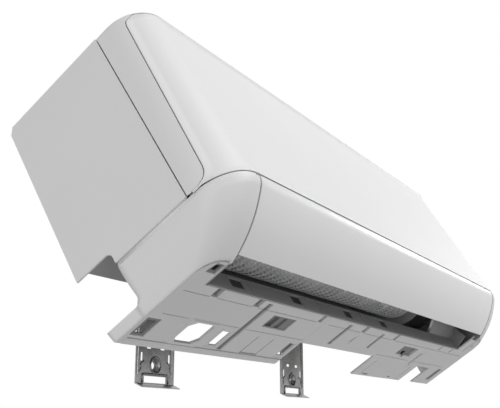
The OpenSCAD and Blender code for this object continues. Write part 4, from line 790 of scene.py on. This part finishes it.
def cover_surface(low, high):
    """Underside cover between two places in X: a grid with lines at its features, whose height is the sum of
    the sloped-edged steps, without the cells of its openings. Past 406 from the middle the columns bend in to
    follow a rounded corner of radius 27.25."""
    steps = steps_of(UNDERSIDE_STEPS)
    cuts = [(a - HALF_WIDTH, b - HALF_WIDTH, c, d) for a, b, c, d in UNDERSIDE_CUTS] + LARGE_CUTS
    near = [r for r in cuts + steps if r[1] > low and r[0] < high]
    xs = line_places(low, high, near, 0, 9.0, [v for v in (-END_X, END_X) if low < v < high])
    ys = line_places(COVER_FRONT, BACK, near, 2, 5.0)
    x, y = np.meshgrid(xs, ys)
    height = relief(steps, x, y)
    bend = np.clip(COVER_FRONT + END_RADIUS - ys, 0, END_RADIUS)
    edge = SIDE_X - (END_RADIUS - np.sqrt(END_RADIUS ** 2 - bend ** 2))[:, None]
    share = np.clip((np.abs(x) - END_X) / (SIDE_X - END_X), 0, 1)
    bent = np.sign(x) * (END_X + share * (edge - END_X))
    x = np.where(share > 0, bent, x)
    mid_x, mid_y = (xs[1:] + xs[:-1]) / 2, (ys[1:] + ys[:-1]) / 2
    kept = np.ones((len(mid_y), len(mid_x)), bool)
    for a, b, c, d in cuts:
        kept &= ~(((mid_x > a) & (mid_x < b))[None, :] & ((mid_y > c) & (mid_y < d))[:, None])
    back = np.maximum(height + COVER_WALL, COVER_BACK)
    return spread(x, y, height), spread(x, y, back), kept


def slab(outer, inner, kept):
    """Closed slab from two grids of points and the cells kept: both skins, and a wall wherever a kept cell
    has no kept neighbour."""
    rows, columns = outer.shape[:2]
    count = rows * columns
    index = np.arange(count).reshape(rows, columns)
    a, b, c, d = index[:-1, :-1], index[:-1, 1:], index[1:, 1:], index[1:, :-1]
    quads = [np.stack([a, d, c, b], axis=-1)[kept], np.stack([a, b, c, d], axis=-1)[kept] + count]
    wide = np.pad(kept, 1)
    for first, second, other in ((a, b, wide[:-2, 1:-1]), (b, c, wide[1:-1, 2:]),
                                 (c, d, wide[2:, 1:-1]), (d, a, wide[1:-1, :-2])):
        rim = kept & ~other
        quads.append(np.stack([first[rim], second[rim], second[rim] + count, first[rim] + count], axis=-1))
    faces = np.concatenate(quads)
    used, place = np.unique(faces, return_inverse=True)
    return np.concatenate([outer.reshape(-1, 3), inner.reshape(-1, 3)])[used], place.reshape(faces.shape)


def paint_shade_faces(piece, shaded_points, name):
    """Gives the faces whose corners all lie in a recess a second finish, which paints their shade."""
    mesh = piece.data
    mesh.materials.append(finish(name))
    size = np.zeros(len(mesh.polygons), int)
    mesh.polygons.foreach_get("loop_total", size)
    corners = np.zeros(len(mesh.loops), int)
    mesh.loops.foreach_get("vertex_index", corners)
    deep = np.add.reduceat(shaded_points[corners].astype(int), np.cumsum(size) - size) == size
    mesh.polygons.foreach_set("material_index", deep.astype(np.int32))
    mesh.update()


def corner_webs():
    """Three-cornered webs, as thick as the cover, that reach a tenth of their legs into its edges."""
    webs = []
    for x, y, dx, dy in WEBS:
        flat = np.array([(x - dx * 0.1, y - dy * 0.1), (x + dx, y - dy * 0.1), (x - dx * 0.1, y + dy)])
        ring = np.concatenate([np.column_stack([flat, np.full(3, z)]) for z in (-0.6, COVER_BACK)])
        webs.append((ring, outward(ring, [[0, 1, 2], [5, 4, 3], [0, 3, 4, 1], [1, 4, 5, 2], [2, 5, 3, 0]])))
    return webs


class OBJECT_OT_unit_underside(bpy.types.Operator):
    """Builds the two covers of the underside with their pockets, slots, grooves and rims"""

    bl_idname = "object.unit_underside"
    bl_label = "Underside"

    def execute(self, context):
        left = slab(*cover_surface(-SIDE_X, PARTING))
        right = slab(*cover_surface(PARTING + PARTING_GAP, SIDE_X))
        for name, parts, node in (("underside_left", [left] + corner_webs(), "bottom_cover_left"),
                                  ("underside_right", [right], "bottom_cover_right")):
            piece = make_object(name, parts, "cover", "chassis", False)
            # painted shade: faces deeper than the limit get the darker recess finish
            paint_shade_faces(piece, joined(parts)[0][:, 2] > COVER_SHADE_DEPTH, "recess")
            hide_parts(node)
        return {"FINISHED"}


class OBJECT_OT_unit_outlet_lip(bpy.types.Operator):
    """Builds the strip along the outlet's rear lip with its notches and ribs"""

    bl_idname = "object.unit_outlet_lip"
    bl_label = "Outlet Lip"

    def execute(self, context):
        steps = steps_of(LIP_STEPS)
        xs = line_places(*LIP_X, steps, 0, 12.0)
        zs = line_places(*LIP_Z, steps, 2, 4.0)
        x, z = np.meshgrid(xs, zs)
        outer = spread(x, LIP_FACE + relief(steps, x, z), z)
        points, faces = slab(outer, spread(x, LIP_BACK, z), np.ones((len(zs) - 1, len(xs) - 1), bool))
        strip = [(points, outward(points, faces.tolist()))]
        piece = make_object("outlet_lip", strip, "lip", "chassis", False)
        # painted shade: the floors of the deep notches get the near-black finish
        paint_shade_faces(piece, (points[:, 1] > LIP_SHADE_SPAN[0]) & (points[:, 1] < LIP_SHADE_SPAN[1]), "dark")
        return {"FINISHED"}


# ---- Legs of the wall plate

LEG_FRONT, LEG_FOOT, LEG_HOLE, LEG_X = -6.7, -194.6, -169.6, 187.0
HOLE_RING, BAND_HALF, BAND_LOW, BAND_TOP = 10.7, 27.0, 1.5, 13.0
RIB = ((-37, -12), (-30, -6), (-31, 1), (-24, 5))  # X from the leg's middle and Z from its hole
RING_ROD, BAND_ROD, RIB_ROD = 1.5, 1.6, 1.1


def in_metres(points):
    """Row-frame metres of row-frame millimetres."""
    return points / 1000


def tube(path, radius, sides=10, closed=False):
    """Tube round a path in X and Z: rings across the path, flattened to three quarters, with closed ends."""
    flat = np.asarray(path, float)
    ahead, behind = np.roll(flat, -1, 0), np.roll(flat, 1, 0)
    if not closed:
        ahead[-1], behind[0] = flat[-1], flat[0]
    along = ahead - behind
    along /= np.linalg.norm(along, axis=1, keepdims=True)
    a = np.linspace(0, 2 * math.pi, sides, endpoint=False)
    x = flat[:, :1] + radius * np.cos(a) * along[:, 1:]
    z = flat[:, 1:] - radius * np.cos(a) * along[:, :1]
    points = spread(x, 0.75 * radius * np.sin(a), z).reshape(-1, 3)
    faces = grid_faces(len(flat), sides, wrap=True, ring=True).tolist() if closed else capped(len(flat), sides)
    return points, outward(points, faces)


def rounded_path(points, radius, steps=6):
    """Path through corners that are rounded by quadratic curves."""
    flat = np.asarray(points, float)
    out = [flat[0]]
    for before, at, after in zip(flat[:-2], flat[1:-1], flat[2:]):
        first = at + (before - at) / np.linalg.norm(before - at) * radius
        last = at + (after - at) / np.linalg.norm(after - at) * radius
        t = np.linspace(0, 1, steps)[:, None]
        out += list((1 - t) ** 2 * first + 2 * t * (1 - t) * at + t ** 2 * last)
    return np.array(out + [flat[-1]])


class OBJECT_OT_unit_leg_pressings(bpy.types.Operator):
    """Builds the pressed rings, bands and ribs on the two legs of the wall plate, darker than the plate to
    paint the shade along them
    """

    bl_idname = "object.unit_leg_pressings"
    bl_label = "Leg Pressings"

    def execute(self, context):
        a = np.radians(np.linspace(0, 360, 33)[:-1])
        ring = np.column_stack([HOLE_RING * np.cos(a), LEG_HOLE + HOLE_RING * np.sin(a)])
        low, high = LEG_FOOT + BAND_LOW, LEG_FOOT + BAND_TOP
        band = rounded_path([(-BAND_HALF, low), (-BAND_HALF, high), (BAND_HALF, high), (BAND_HALF, low)], 3.0)
        rib = rounded_path([(x, LEG_HOLE + z) for x, z in RIB], 2.5)
        pressings = (tube(ring, RING_ROD, closed=True), tube(band, BAND_ROD), tube(rib, RIB_ROD),
                     tube(rib * [-1.0, 1.0], RIB_ROD))
        parts = [(points + [x, LEG_FRONT, 0.0], faces) for x in (-LEG_X, LEG_X) for points, faces in pressings]
        # painted shade: the pressings take the darker pressed finish
        make_object("leg_pressings", parts, "pressed", "wall_plate", place=in_metres)
        return {"FINISHED"}


# ---- Fan

FAN_LEFT, FAN_LENGTH, FAN_Y, FAN_Z = -395.0, 656.0, 116.0, 122.0
BLADE_OUT, BLADE_IN, BLADE_HALF, BLADE_SLANT, BLADE_SWEEP = 47.6, 40.0, 0.45, 10.0, 8.0
RING_OUT, RING_IN, HUB, BORE, DISC_WALL, RING_HALF = 47.8, 33.0, 12.0, 4.0, 2.0, 0.8
SEGMENTS_BETWEEN_RINGS = 10


def about_axis(x, radius, angle):
    """Points at places along the fan's axis, by their radius and angle about it."""
    return spread(x, FAN_Y + radius * np.cos(angle), FAN_Z + radius * np.sin(angle))


def fan_blades(segments, blades):
    """Blades: each runs along its segment from one side of its pitch to the other, slants by 10 degrees
    and back in the next segment, and is a closed bar 0.9 thick from radius 40 to 47.6."""
    segment = np.arange(segments)[:, None, None, None]
    blade = np.arange(blades)[None, :, None, None]
    along = np.array([0.04, 0.5, 0.96])[None, None, :, None]
    radius = np.array([BLADE_OUT, BLADE_OUT, BLADE_IN, BLADE_IN])
    side = np.array([-1.0, 1.0, 1.0, -1.0]) * BLADE_HALF
    slant = np.where(segment % 2 == 0, along, 1 - along) * BLADE_SLANT
    swept = BLADE_SWEEP * (BLADE_OUT - radius) / (BLADE_OUT - BLADE_IN)
    angle = np.radians(360.0 / blades * blade + slant + swept) + side / radius
    points = about_axis(FAN_LEFT + (segment + along) * FAN_LENGTH / segments, radius, angle).reshape(-1, 3)
    ring = np.array([[k, (k + 1) % 4, (k + 1) % 4 + 4, k + 4] for k in range(4)])
    web = np.concatenate([ring, ring + 4, [[3, 2, 1, 0]], [[8, 9, 10, 11]]])
    web = np.array(outward(points[:12], [list(f) for f in web]))
    start = 12 * np.arange(segments * blades)[:, None, None]
    return points, (web[None] + start).reshape(-1, 4)


def turned(outline, count):
    """Closed ring round the fan's axis from an outline of places along X and radii."""
    flat = np.asarray(outline, float)
    a = np.linspace(0, 2 * math.pi, count, endpoint=False)[:, None]
    points = about_axis(flat[:, 0], flat[:, 1], a).reshape(-1, 3)
    return points, outward(points, grid_faces(count, len(flat), wrap=True, ring=True).tolist())


def fan_rings(segments):
    """Rings between the segments, a closed end disc at each end, and the hub at the right."""
    parts = []
    for i in range(0, segments + 1, SEGMENTS_BETWEEN_RINGS):
        x = FAN_LEFT + i * FAN_LENGTH / segments
        x0 = x if i == 0 else x - DISC_WALL if i == segments else x - RING_HALF
        x1 = x if i == segments else x + DISC_WALL if i == 0 else x + RING_HALF
        inner = BORE if i in (0, segments) else RING_IN
        parts.append(turned([(x0, inner), (x1, inner), (x1, RING_OUT), (x0, RING_OUT)], 96))
    hub = [(259.0, BORE), (270.0, BORE), (270.0, HUB - 0.4), (269.6, HUB), (259.0, HUB)]
    return joined(parts + [turned(hub, 40)])


class OBJECT_OT_unit_fan(bpy.types.Operator):
    """Builds the cross flow fan with short segments of blades that slant to and fro"""

    bl_idname = "object.unit_fan"
    bl_label = "Cross Flow Fan"

    def execute(self, context):
        count = context.scene.indoor_unit_sizes
        parts = [fan_blades(count.fan_segments, count.fan_blades), fan_rings(count.fan_segments)]
        piece = make_object("fan_rotor", parts, "fan", "fan", False)
        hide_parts("cross_flow_fan")
        return {"FINISHED"}


# ---- Vane

VANE_TOP, VANE_LOW, VANE_HALF_WALL, VANE_END_GAP = 9.0, 68.0, 1.2, 0.7
VANE_END_STEPS = np.array([0.0, 0.06, 0.15, 0.3, 0.5, 0.8])


def vane_loop(end_gap):
    """Closed section of the vane's skin: out along the profile from 9 to 68 degrees, round the lower edge,
    back 2.4 behind it and round the upper edge; end_gap is the distance to the vane's end, which is rounded."""
    turn = np.linspace(VANE_TOP, VANE_LOW, 70)
    half = VANE_HALF_WALL
    inset = float(eased(np.array(end_gap), 0.8))
    ends = []
    for at, sign in ((VANE_LOW, 1.0), (VANE_TOP, -1.0)):
        a = np.radians(at)
        out = np.array([-math.cos(a), -math.sin(a)]) * sign
        along = np.array([math.sin(a), -math.cos(a)]) * sign
        swing = np.radians(np.linspace(0, 180, 9)[1:-1])[:, None]
        turned_round = np.cos(swing) * out + np.sin(swing) * along
        ends.append(np.array(arc_profile(at, half)) + (half - inset) * turned_round)
    front = np.column_stack(arc_profile(turn, inset))
    behind = np.column_stack(arc_profile(turn[::-1], 2 * half - inset))
    return np.concatenate([front, ends[0], behind, ends[1]])


class OBJECT_OT_unit_vane(bpy.types.Operator):
    """Builds the skin of the vane with its rounded edges"""

    bl_idname = "object.unit_vane"
    bl_label = "Vane"

    def execute(self, context):
        half = millimetres("vane_length") / 2 - VANE_END_GAP
        ends = half - VANE_END_STEPS
        xs = np.concatenate([-ends, np.linspace(10 - half, half - 10, 12), ends[::-1]])
        loops = np.stack([vane_loop(half - abs(x)) for x in xs])
        points = spread(xs[:, None], loops[..., 0], loops[..., 1]).reshape(-1, 3)
        skin = [(points, outward(points, capped(*loops.shape[:2])))]
        vane = make_object("vane_face", skin, "vane", "vane")
        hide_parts("vane_skin")
        return {"FINISHED"}


# ---- Studio

CAMERA_PLACE, CAMERA_AHEAD, CAMERA_LENS = (-1.0231, -0.6777, -0.2499), (0.8154, 0.5098, 0.2743), 56.6
FLOOR_HALF, FLOOR_Z = 6, -1.3
UNIT_MIDDLE = (0, -0.1, -0.05)
# Place, width, depth and target of each lamp, whose power is the setting of the same name
LAMPS = {
    "key": ((0.4, -2.1, 2.2), 1.6, 1.6, UNIT_MIDDLE),
    "side": ((2.7, -0.9, 1.0), 0.7, 0.7, UNIT_MIDDLE),
    "fill": ((-2.8, -0.6, 0.4), 2.0, 2.0, UNIT_MIDDLE),
    "outlet": ((-0.067, -0.2359, -0.0828), 0.66, 0.02, (-0.067, -0.166, -0.0184)),
}


def lamp(name, place, width, depth, target, power):
    """Soft lamp of a width and depth at a place, turned to a target."""
    data = bpy.data.lights.new(name, "AREA")
    data.shape = "RECTANGLE"
    data.size, data.size_y, data.energy = width, depth, power
    piece = bpy.data.objects.new(name, data)
    piece.location = place
    piece.rotation_euler = (Vector(target) - Vector(place)).to_track_quat("-Z", "Y").to_euler()
    bpy.context.scene.collection.objects.link(piece)


def aim_camera(scene):
    """Camera at the photograph's place, fitted to its perspective."""
    data = bpy.data.cameras.new("studio_camera")
    data.sensor_width, data.lens, data.clip_end = 36.0, CAMERA_LENS, 50.0
    camera = bpy.data.objects.new("studio_camera", data)
    scene.collection.objects.link(camera)
    camera.location = CAMERA_PLACE
    camera.rotation_euler = Vector(CAMERA_AHEAD).to_track_quat("-Z", "Y").to_euler()
    scene.camera = camera


def seen_rays(tree):
    """1 for rays from the camera and in glass and gloss, and 0 for others."""
    rays = tree.nodes.new("ShaderNodeLightPath").outputs
    seen = combine(tree, "MAXIMUM", rays["Is Camera Ray"], rays["Is Transmission Ray"])
    return combine(tree, "MAXIMUM", seen, rays["Is Glossy Ray"])


def show_instead(tree, share, first, second, out):
    """Ends a tree in its first shader, with a share of the second in its place."""
    mix = tree.nodes.new("ShaderNodeMixShader")
    for socket, value in zip(mix.inputs, (share, first.outputs[0], second.outputs[0])):
        tree.links.new(value, socket)
    tree.links.new(mix.outputs[0], out.inputs[0])


def pale_to_camera(tree, shader):
    """Shows four fifths of a surface as white to the camera, so that its shadows stay but are pale."""
    white = add(tree, "ShaderNodeEmission", Color=(1, 1, 1, 1), Strength=1.0)
    out = next(n for n in tree.nodes if n.type == "OUTPUT_MATERIAL")
    show_instead(tree, combine(tree, "MULTIPLY", seen_rays(tree), 0.8), shader, white, out)


def light_world(scene, ambient):
    """World that lights at the ambient level and shows white to the camera and in gloss and glass."""
    world = bpy.data.worlds.new("studio_world")
    world.use_nodes = True
    tree = world.node_tree
    tree.nodes.clear()
    dim = add(tree, "ShaderNodeBackground", Color=(1, 1, 1, 1), Strength=ambient)
    bright = add(tree, "ShaderNodeBackground", Color=(1, 1, 1, 1), Strength=1.0)
    show_instead(tree, seen_rays(tree), dim, bright, tree.nodes.new("ShaderNodeOutputWorld"))
    scene.world = world


class OBJECT_OT_unit_studio(bpy.types.Operator):
    """Sets up the floor, the lamps, the world and the camera"""

    bl_idname = "object.unit_studio"
    bl_label = "Studio"

    def execute(self, context):
        scene = context.scene
        studio = scene.indoor_unit_studio
        aim_camera(scene)
        for name, (place, width, depth, target) in LAMPS.items():
            lamp(name + "_light", place, width, depth, target, getattr(studio, name))
        corners = [(x * FLOOR_HALF, y * FLOOR_HALF, FLOOR_Z) for x, y in ((-1, -1), (1, -1), (1, 1), (-1, 1))]
        floor_mesh = bpy.data.meshes.new("floor")
        floor_mesh.from_pydata(corners, [], [(0, 1, 2, 3)])
        material, tree, shader, _ = new_finish("floor_pale")
        fill(tree, shader, Base_Color=(0.85, 0.85, 0.85, 1), Roughness=0.9)
        pale_to_camera(tree, shader)
        floor_mesh.materials.append(material)
        floor = bpy.data.objects.new("floor", floor_mesh)
        scene.collection.objects.link(floor)
        light_world(scene, studio.ambient)
        scene.view_settings.view_transform = "Standard"
        return {"FINISHED"}


# ---- Panel in the sidebar, and running it all

OPERATORS = (OBJECT_OT_unit_studio, OBJECT_OT_unit_finishes, OBJECT_OT_unit_panel, OBJECT_OT_unit_lower_casing,
             OBJECT_OT_unit_vane, OBJECT_OT_unit_underside, OBJECT_OT_unit_fan,
             OBJECT_OT_unit_outlet_lip, OBJECT_OT_unit_leg_pressings)


class VIEW3D_PT_indoor_unit(bpy.types.Panel):
    """Lists the settings and the operators"""

    bl_label = "Indoor Unit"
    bl_idname = "VIEW3D_PT_indoor_unit"
    bl_space_type = "VIEW_3D"
    bl_region_type = "UI"
    bl_category = "Indoor Unit"

    def draw(self, context):
        scene = context.scene
        for group in (scene.indoor_unit_sizes, scene.indoor_unit_colours, scene.indoor_unit_studio):
            box = self.layout.box()
            for key in group.bl_rna.properties.keys():
                if key not in ("rna_type", "name"):
                    box.prop(group, key)
        for operator in OPERATORS:
            self.layout.operator(operator.bl_idname)


CLASSES = (IndoorUnitSizes, IndoorUnitColours, IndoorUnitStudio) + OPERATORS + (VIEW3D_PT_indoor_unit,)


def register():
    """Registers the classes and puts the settings on the scene."""
    for item in CLASSES:
        bpy.utils.register_class(item)
    bpy.types.Scene.indoor_unit_sizes = PointerProperty(type=IndoorUnitSizes)
    bpy.types.Scene.indoor_unit_colours = PointerProperty(type=IndoorUnitColours)
    bpy.types.Scene.indoor_unit_studio = PointerProperty(type=IndoorUnitStudio)


def unregister():
    """Takes the settings off the scene and the classes out."""
    del bpy.types.Scene.indoor_unit_studio
    del bpy.types.Scene.indoor_unit_colours
    del bpy.types.Scene.indoor_unit_sizes
    for item in reversed(CLASSES):
        bpy.utils.unregister_class(item)


def main():
    register()
    bpy.ops.object.unit_studio()
    bpy.ops.object.unit_finishes()
    bpy.ops.object.unit_panel()
    bpy.ops.object.unit_lower_casing()
    bpy.ops.object.unit_vane()
    bpy.ops.object.unit_underside()
    bpy.ops.object.unit_fan()
    bpy.ops.object.unit_outlet_lip()
    bpy.ops.object.unit_leg_pressings()


if __name__ == "__main__":
    main()
